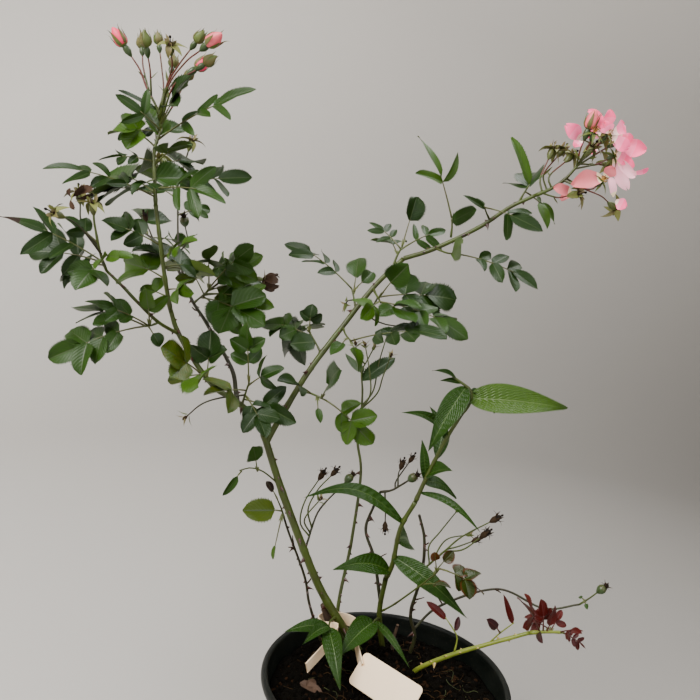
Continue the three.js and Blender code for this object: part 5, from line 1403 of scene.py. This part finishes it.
plain_finish("peat", (9, 7, 4), (4, 3, 2), 0.95, 160.0, grain=900.0, **dict(DUSTY, bump=1.0, amount=0.9))
plain_finish("peat_crumb", (13, 10, 6), (5, 4, 3), 0.95, scale=220.0, **dict(DUSTY, Specular_IOR_Level=0.02))
plain_finish("bark_chip", (38, 23, 11), (20, 12, 7), 0.9, scale=200.0, **DUSTY)
plain_finish("root_fibre", (62, 45, 27), (36, 26, 16), 0.85, Specular_IOR_Level=0.05)
plain_finish("moss", (50, 56, 15), (28, 35, 10), 0.9, scale=300.0)
plain_finish("dry_leaf", (66, 44, 27), (40, 26, 16), 0.8, scale=120.0)


def pot_finish():
    """Black plastic with a dusty bloom and faint scuffs."""
    tree, shader = new_finish("black_pot", 0.42, Specular_IOR_Level=0.18)
    bloomed = {"Colour": tone(10, 14, 11), "Shade": tone(17, 21, 16), "Scale": 26.0, "Amount": 0.55}
    mottled = use(tree, MOTTLE, bloomed)
    flecks = clouds(tree, own_place(tree), 520.0, 2.0)["Fac"]
    share = maths(tree, "MULTIPLY", ramp(tree, flecks, 0.62, 0.72), 0.3)
    tree.links.new(blend(tree, share, mottled["Colour"], tone(56, 50, 38)), shader.inputs["Base Color"])
    tree.links.new(ramp(tree, mottled["Patches"], 0.0, 1.0, 0.34, 0.62), shader.inputs["Roughness"])
    relief(tree, shader, flecks, 0.12, 0.0003)


pot_finish()


# Pot, soil and label


def circle(radius, sides):
    angles = [2 * math.pi * j / sides for j in range(sides)]
    return [(radius * math.cos(a), radius * math.sin(a)) for a in angles]


def lathe(heap, profile, sides, paint):
    rows = [[Vector((x, y, z)) for x, y in circle(r, sides)] for r, z in profile]
    skin(heap, rows, paint, loop=True, flip=True)


# The rim's roll: distance from its widest line and height
POT_LIP = [
    (-1.6, 158.2), (-0.5, 159.4), (0, 161), (-0.1, 162.8), (-0.8, 164.2),
    (-2, 164.9), (-3.4, 164.9), (-4.6, 164.2), (-5.2, 162.8),
]


def make_pot():
    """A round nursery pot with a rolled rim, a stepped skirt and drain holes."""
    height, rim, foot, wall = POT["height"], POT["rim"], POT["foot"], POT["wall"]
    top, inner = height - POT["skirt"], rim - POT["lip"]
    low = foot + 0.5
    rise = inner + wall - foot - 0.9
    profile = [(0.01, 1.2), (30, 1.2), (61, 1.2), (62.5, 0), (72, 0), (foot, 0.9), (low, 3)]
    profile += [(low + rise * k / 24, 3 + (top - 4) * k / 24) for k in range(1, 25)]
    profile += [(inner + 2.6, top + 0.6), (rim - 3, top + 4), (rim - 2.2, height - 8)]
    profile += [(rim + r, z) for r, z in POT_LIP]
    profile += [(inner + 1.4, 158), (inner + 0.6, 154), (inner - 0.2, top)]
    profile += [(inner_radius(z), z) for z in range(int(top) - 6, 4, -6)]
    profile += [(foot - wall - 0.5, 2.4 * wall), (40, 2 * wall), (0.01, 2 * wall)]
    heap, tool = Heap(), Heap()
    lathe(heap, profile, POT["sides"], "black_pot")
    pot = heap.make("nursery_pot")
    for k in range(DRAIN["count"]):
        angle = (k + 0.5) / DRAIN["count"] * 2 * math.pi
        centre = Vector((DRAIN["ring"] * math.cos(angle), DRAIN["ring"] * math.sin(angle), -3))
        tube(tool, [centre, centre + UP * 9], [DRAIN["radius"]] * 2, 28, "black_pot")
    punch = tool.make("punch")
    cut = pot.modifiers.new("drain", "BOOLEAN")
    cut.object = punch
    cut.solver = "EXACT"
    apply(pot)
    bpy.data.objects.remove(punch)
    return pot


def apply(piece):
    """Replaces a piece's mesh by the result of its modifiers."""
    graph = bpy.context.evaluated_depsgraph_get()
    final = piece.evaluated_get(graph)
    done = bpy.data.meshes.new_from_object(final, preserve_all_data_layers=True, depsgraph=graph)
    piece.modifiers.clear()
    piece.data = done
    return piece


def soil_height(x, y):
    crown_x, crown_y = SOIL["crown"]
    away = math.hypot(x - crown_x, y - crown_y) / SOIL["spread"]
    lumps = math.sin(x * 0.21 + 1.3) * math.cos(y * 0.17 - 0.6) + 0.6 * math.sin(x * 0.09 - y * 0.13)
    return POT["height"] - SOIL["drop"] + SOIL["mound"] * math.exp(-away * away) + SOIL["lumps"] * lumps


def soil_surface(x, y):
    """The rule's height with clods on it, kept under the stems' feet and hollowed under the tag."""
    broad = noise.noise(Vector((x, y, 3)) * CLODS["broad"]) * CLODS["rise"]
    fine = noise.noise(Vector((x, y, 9)) * CLODS["fine"]) * CLODS["ripple"]
    right, back, edge = x - BED["x"], y - BED["y"], BED["edge"]
    along = BED["cos"] * right - BED["sin"] * back
    beside = BED["sin"] * right + BED["cos"] * back + BED["shift"]
    ends = (1 + math.exp((BED["near"] - along) / edge)) * (1 + math.exp((along - BED["far"]) / edge))
    hollow = BED["deep"] / ends / (1 + math.exp((abs(beside) - BED["half"]) / edge))
    return soil_height(x, y) - CLODS["under"] + (broad + fine) - hollow


def inner_radius(height):
    slope = (POT["rim"] - POT["lip"] - POT["foot"] + POT["wall"]) / (POT["height"] - POT["skirt"])
    return POT["foot"] - POT["wall"] + slope * height


def make_soil():
    """The lump of peat that fills the pot, its top in rings from the edge to the middle."""
    sides, rings = POT["sides"], 46
    reach, floor = inner_radius(148) - 0.9, 2 * POT["wall"] + 0.4
    rows = [[Vector((x, y, floor)) for x, y in circle(r, sides)] for r in (0.02, inner_radius(floor) - 1)]
    for k in range(rings, -1, -1):
        spots = circle(max(0.02, reach * k / rings), sides)
        rows.append([Vector((x, y, soil_surface(x, y))) for x, y in spots])
    heap = Heap()
    skin(heap, rows, "peat", loop=True, flip=True)
    return heap.make("potting_soil")


def scatter_tree():
    """Geometry nodes: lumps of the soil's own stuff strewn over its top."""
    inputs = {
        "Geometry": "NodeSocketGeometry", "Density": 100.0, "Smallest": 0.0004, "Largest": 0.001,
        "Reach": 0.085, "Seed": 1, "Finish": "NodeSocketMaterial",
    }
    tree, given, out = effect("crumbs", "GeometryNodeTree", inputs, {"Geometry": "NodeSocketGeometry"})

    def step(kind, sockets, output, **settings):
        return put(tree, kind, sockets, **settings).outputs[output]

    spot = put(tree, "ShaderNodeSeparateXYZ", {0: step("GeometryNodeInputPosition", {}, 0)}).outputs
    depth = maths(tree, "MULTIPLY", spot["Y"], spot["Y"])
    away = maths(tree, "SQRT", maths(tree, "MULTIPLY_ADD", spot["X"], spot["X"], depth))
    within = maths(tree, "LESS_THAN", away, given["Reach"])
    top = maths(tree, "MULTIPLY", within, maths(tree, "GREATER_THAN", spot["Z"], 0.1))
    where = {"Mesh": given["Geometry"], "Selection": top, "Density": given["Density"], "Seed": given["Seed"]}
    strewn = step("GeometryNodeDistributePointsOnFaces", where, "Points")
    lump = step("GeometryNodeMeshIcoSphere", {"Radius": 1.0, "Subdivisions": 2}, "Mesh")
    sizes = {2: given["Smallest"], 3: given["Largest"], "Seed": given["Seed"]}
    size = step("FunctionNodeRandomValue", sizes, 1, data_type="FLOAT")
    turns = {0: (0, 0, 0), 1: (6.3, 6.3, 6.3), "Seed": 5}
    turn = step("FunctionNodeRandomValue", turns, 0, data_type="FLOAT_VECTOR")
    lumps = {"Points": strewn, "Instance": lump, "Rotation": turn, "Scale": size}
    placed = step("GeometryNodeInstanceOnPoints", lumps, "Instances")
    solid = step("GeometryNodeRealizeInstances", {"Geometry": placed}, "Geometry")
    rough = clouds(tree, step("GeometryNodeInputPosition", {}, 0), 420.0, 1.0)["Color"]
    centred = vectors(tree, "SUBTRACT", rough, (0.5, 0.5, 0.5))
    shift = step("ShaderNodeVectorMath", {0: centred, "Scale": 0.0022}, 0, operation="SCALE")
    torn = step("GeometryNodeSetPosition", {"Geometry": solid, "Offset": shift}, "Geometry")
    done = step("GeometryNodeSetMaterial", {"Geometry": torn, "Material": given["Finish"]}, "Geometry")
    tree.links.new(done, out["Geometry"])
    return tree


CRUMBS = dict(
    soil_crumbs=dict(Density=70000.0, Smallest=0.0005, Largest=0.0016, Seed=3, Finish="peat_crumb"),
    soil_clods=dict(Density=14000.0, Smallest=0.0014, Largest=0.0034, Seed=8, Finish="peat"),
    bark_chips=dict(Density=6000.0, Smallest=0.0006, Largest=0.0022, Seed=11, Finish="bark_chip"),
)


def crumbs(name, soil, tree):
    """A piece of loose lumps that lie on the soil."""
    piece = stand(name, soil.data.copy())
    strew = piece.modifiers.new("crumbs", "NODES")
    strew.node_group = tree
    sockets = {item.name: item.identifier for item in tree.interface.items_tree if item.in_out == "INPUT"}
    for label, value in CRUMBS[name].items():
        strew[sockets[label]] = bpy.data.materials[value] if label == "Finish" else value
    return apply(piece)


TAG = dict(
    corner=Vector((-16, 20, 170)), long=Vector((0.77, -0.63, -0.07)).normalized(),
    down=Vector((-0.46, -0.5, -0.72)), length=58, width=27, round=4, thick=0.8, bow=1.2,
    loop=Vector((-40, 47.5, 175)), wide=17, deep=12.5, band=10, steps=80,
)


def tag_outline(length, width, radius):
    """The card's outline from above, with rounded corners."""
    outline = []
    far, wide = length - radius, width - radius
    for cx, cy, start in ((far, radius, -90), (far, wide, 0), (radius, wide, 90), (radius, radius, 180)):
        for k in range(7):
            angle = math.radians(start + 15 * k)
            outline.append((cx + radius * math.cos(angle), cy + radius * math.sin(angle)))
    return outline


def tag_band():
    """The line of the band, from under the card round the stems and down to its loose end."""
    loop, wide, deep = TAG["loop"], TAG["wide"], TAG["deep"]
    under = TAG["corner"] + TAG["long"] * 3 + Vector((-5, -6, -9))
    points = [under, loop + Vector((wide * 0.95, -deep * 1.5, -5))]
    for k in range(8):
        angle = -0.5 + k / 7 * 5.2
        points.append(loop + Vector((wide * math.cos(angle), deep * math.sin(angle), -1.5 + k * 0.6)))
    points.append(loop + Vector((-wide * 0.5, -deep * 2.0, -6)))
    points.append(loop + Vector((-wide * 1.3, -deep * 3.5, -14.5)))
    return Route(points)


def make_label():
    """The white tag: a card with rounded corners and the band that loops round the stems."""
    heap = Heap()
    corner, long, length, width = TAG["corner"], TAG["long"], TAG["length"], TAG["width"]
    lower = square_to(TAG["down"], long)
    thin = long.cross(lower).normalized()
    half = TAG["thick"] / 2
    rows = []
    for inset, w in ((0.3, -half), (0, -half * 0.4), (0, half * 0.4), (0.3, half)):
        row = []
        for u, v in tag_outline(length, width, TAG["round"]):
            u = length / 2 + (u - length / 2) * (1 - inset / 50)
            v = width / 2 + (v - width / 2) * (1 - inset / 13)
            lift = w + TAG["bow"] * math.sin(math.pi * u / length)
            row.append(corner + long * u + lower * v + thin * lift)
        rows.append(row)
    skin(heap, rows, "tag_card", loop=True, flip=True, ends=True)
    band, rows = tag_band(), []
    for k in range(TAG["steps"] + 1):
        share = k / TAG["steps"]
        centre, forward = band.at(share), band.forward(share)
        face = forward.cross(UP).normalized()
        tall = face.cross(forward).normalized() * TAG["band"] / 2
        rows.append([centre + tall * v + face * w * half for v, w in ((1, -1), (-1, -1), (-1, 1), (1, 1))])
    skin(heap, rows, "tag_card", loop=True)
    label = heap.make("plant_label")
    label.data.shade_flat()
    return label


FIBRES = dict(count=90, points=7, step=3.4, turn=0.9, edge=84, girth=0.32, marks=14)


def make_litter():
    """Root fibres, moss threads and a dry leaf on the soil."""
    heap = Heap()
    roll = dice(77)
    for k in range(FIBRES["count"]):
        right = k % 3 == 0
        x = 62 + vary(roll, 22) if right else vary(roll, 70)
        y = vary(roll, 40) if right else vary(roll, 66)
        way, points = roll() * 6.28, []
        for _ in range(FIBRES["points"]):
            if math.hypot(x, y) > FIBRES["edge"]:
                break
            points.append(Vector((x, y, soil_surface(x, y) + 0.4 + 2.2 * roll() ** 3)))
            way += vary(roll, FIBRES["turn"])
            x, y = x + FIBRES["step"] * math.cos(way), y + FIBRES["step"] * math.sin(way)
        if len(points) > 3:
            line = Route(points)
            count = FIBRES["marks"]
            spots = [line.at(j / count) for j in range(count + 1)]
            radii = [FIBRES["girth"] - 0.015 * j for j in range(count + 1)]
            tube(heap, spots, radii, 4, "moss" if k % 5 == 0 else "root_fibre")
    flat = Vector((-66, -2, soil_surface(-66, -2) + 2.4))
    for shift, along, length, width, seed in (
        ((0, 0, 0), (0.93, -0.32, -0.1), 19, 7, 78), ((5, -3, -0.6), (0.7, 0.7, 0.05), 11, 6, 80),
    ):
        root, along = flat + Vector(shift), Vector(along).normalized()
        shred = dict(root=root, along=along, facing=UP.copy(), length=length, width=width)
        leaf_blade(heap, shred, "rose", dice(seed), "dry_leaf", "dry_leaf")
    return heap.make("soil_litter")


# Dressing the frame

# Each joined piece with a slot name that is listed and not used, and the piece that holds a mass of its kind
SLOTS = dict(
    rose_leaves="rose_leaf", lance_leaves="light_leaf", red_leaves="red_leaf", twigs="green_bark",
    seed_heads="seed_heads", blossom="petals", thorns="green_bark", bark_green="green_bark",
    bark_dark="dark_bark", bark_young="young_bark", bark_dead="dry_wood",
)
HOLDERS = dict(lance="lance_leaves", red="red_leaves", bloom="blossom", seed="seed_heads")

heaps = {name: Heap() for name in SLOTS}
for index, limb in enumerate(LIMBS):
    dress_limb(heaps, limb, index + 1)
for index, mass in enumerate(MASSES):
    dress_mass(heaps, mass, index + 101)
open_petals(heaps["blossom"])

made = {}
for name, heap in heaps.items():
    piece = heap.make(name.replace("bark", "canes"))
    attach(piece, "root")
    made[name] = piece
for limb in LIMBS:
    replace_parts(made[bark_of(limb)], limb["name"])
for mass in MASSES:
    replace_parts(made[HOLDERS.get(mass.get("kind"), "rose_leaves")], mass["name"])

pot, soil, label, litter = make_pot(), make_soil(), make_label(), make_litter()
strewing = scatter_tree()
strewn = [crumbs(name, soil, strewing) for name in CRUMBS]
for slot, pieces in dict(pot_plastic=[pot], label_card=[label], potting_soil=[soil, litter, *strewn]).items():
    for piece in pieces:
        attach(piece, "root")
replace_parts(pot, "pot")
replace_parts(soil, "soil")
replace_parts(label, "label")


# Floor, light and camera


SWEEP = dict(flat=1300, bend=900, top=3200, steps=20)


def make_stage():
    """A pale round floor that sweeps up into a wall on every side, with painted light and shade: lighter
    upwards and to the left, darker downwards and to the right.
    """
    tree, shader = new_finish("studio_sweep", 0.9, Specular_IOR_Level=0.1)
    place = put(tree, "ShaderNodeSeparateXYZ", {0: own_place(tree)}).outputs
    # Painted light and shade: the colour grows lighter with height and towards the left, darker low down and
    # to the right.
    painted_light = maths(tree, "MULTIPLY_ADD", place["Z"], 0.4, maths(tree, "MULTIPLY", place["X"], -0.3))
    shade = blend(tree, ramp(tree, painted_light, -0.35, 0.68), tone(92, 89, 84), tone(246, 242, 237))
    tree.links.new(shade, shader.inputs["Base Color"])
    flat, bend = SWEEP["flat"], SWEEP["bend"]
    turns = [math.pi / 2 * k / SWEEP["steps"] for k in range(1, SWEEP["steps"] + 1)]
    profile = [(0.01, 0), (300, 0), (flat, 0)]
    profile += [(flat + bend * math.sin(a), bend - bend * math.cos(a)) for a in turns]
    profile += [(flat + bend, SWEEP["top"])]
    heap = Heap()
    lathe(heap, profile[::-1], 96, "studio_sweep")
    heap.make("studio_sweep")


def area_light(name, place, size, power, colour=(1, 1, 1)):
    """A square softbox that looks at the bush."""
    lamp = bpy.data.lights.new(name, "AREA")
    lamp.size, lamp.energy, lamp.color = size, power, colour
    holder = stand(name, lamp)
    holder.location = place
    holder.rotation_mode = "QUATERNION"
    holder.rotation_quaternion = (LOOKED_AT - Vector(place)).to_track_quat("-Z", "Y")


def make_camera():
    """The photograph's eye: 52 mm to the left of the pot's axis and half a metre in front of it."""
    pitch, lean = math.radians(PITCH), math.radians(ROLL)
    right = Vector((1, 0, 0))
    ahead = Vector((0, math.cos(pitch), -math.sin(pitch)))
    over = Vector((0, math.sin(pitch), math.cos(pitch)))
    lens = bpy.data.cameras.new("camera")
    lens.sensor_width = SENSOR
    lens.lens = SENSOR * FOCAL
    lens.clip_start = 0.01
    camera = stand("camera", lens)
    turned = Matrix((towards(right, over, lean), towards(over, -right, lean), -ahead)).transposed().to_4x4()
    camera.matrix_world = Matrix.Translation(EYE * MM) @ turned
    bpy.context.scene.camera = camera


make_stage()
area_light("key_softbox", (-0.75, -0.75, 1.45), 0.9, 42, (1, 0.98, 0.95))
area_light("back_softbox", (0.6, 0.5, 1.7), 0.9, 22)
area_light("fill_softbox", (0.8, -1.1, 0.8), 1.2, 13, (0.96, 0.98, 1))
world = bpy.data.worlds.new("studio_air")
world.use_nodes = True
air = world.node_tree.nodes["Background"].inputs
air["Color"].default_value = (1, 0.98, 0.94, 1)
air["Strength"].default_value = 0.43
bpy.context.scene.world = world
make_camera()
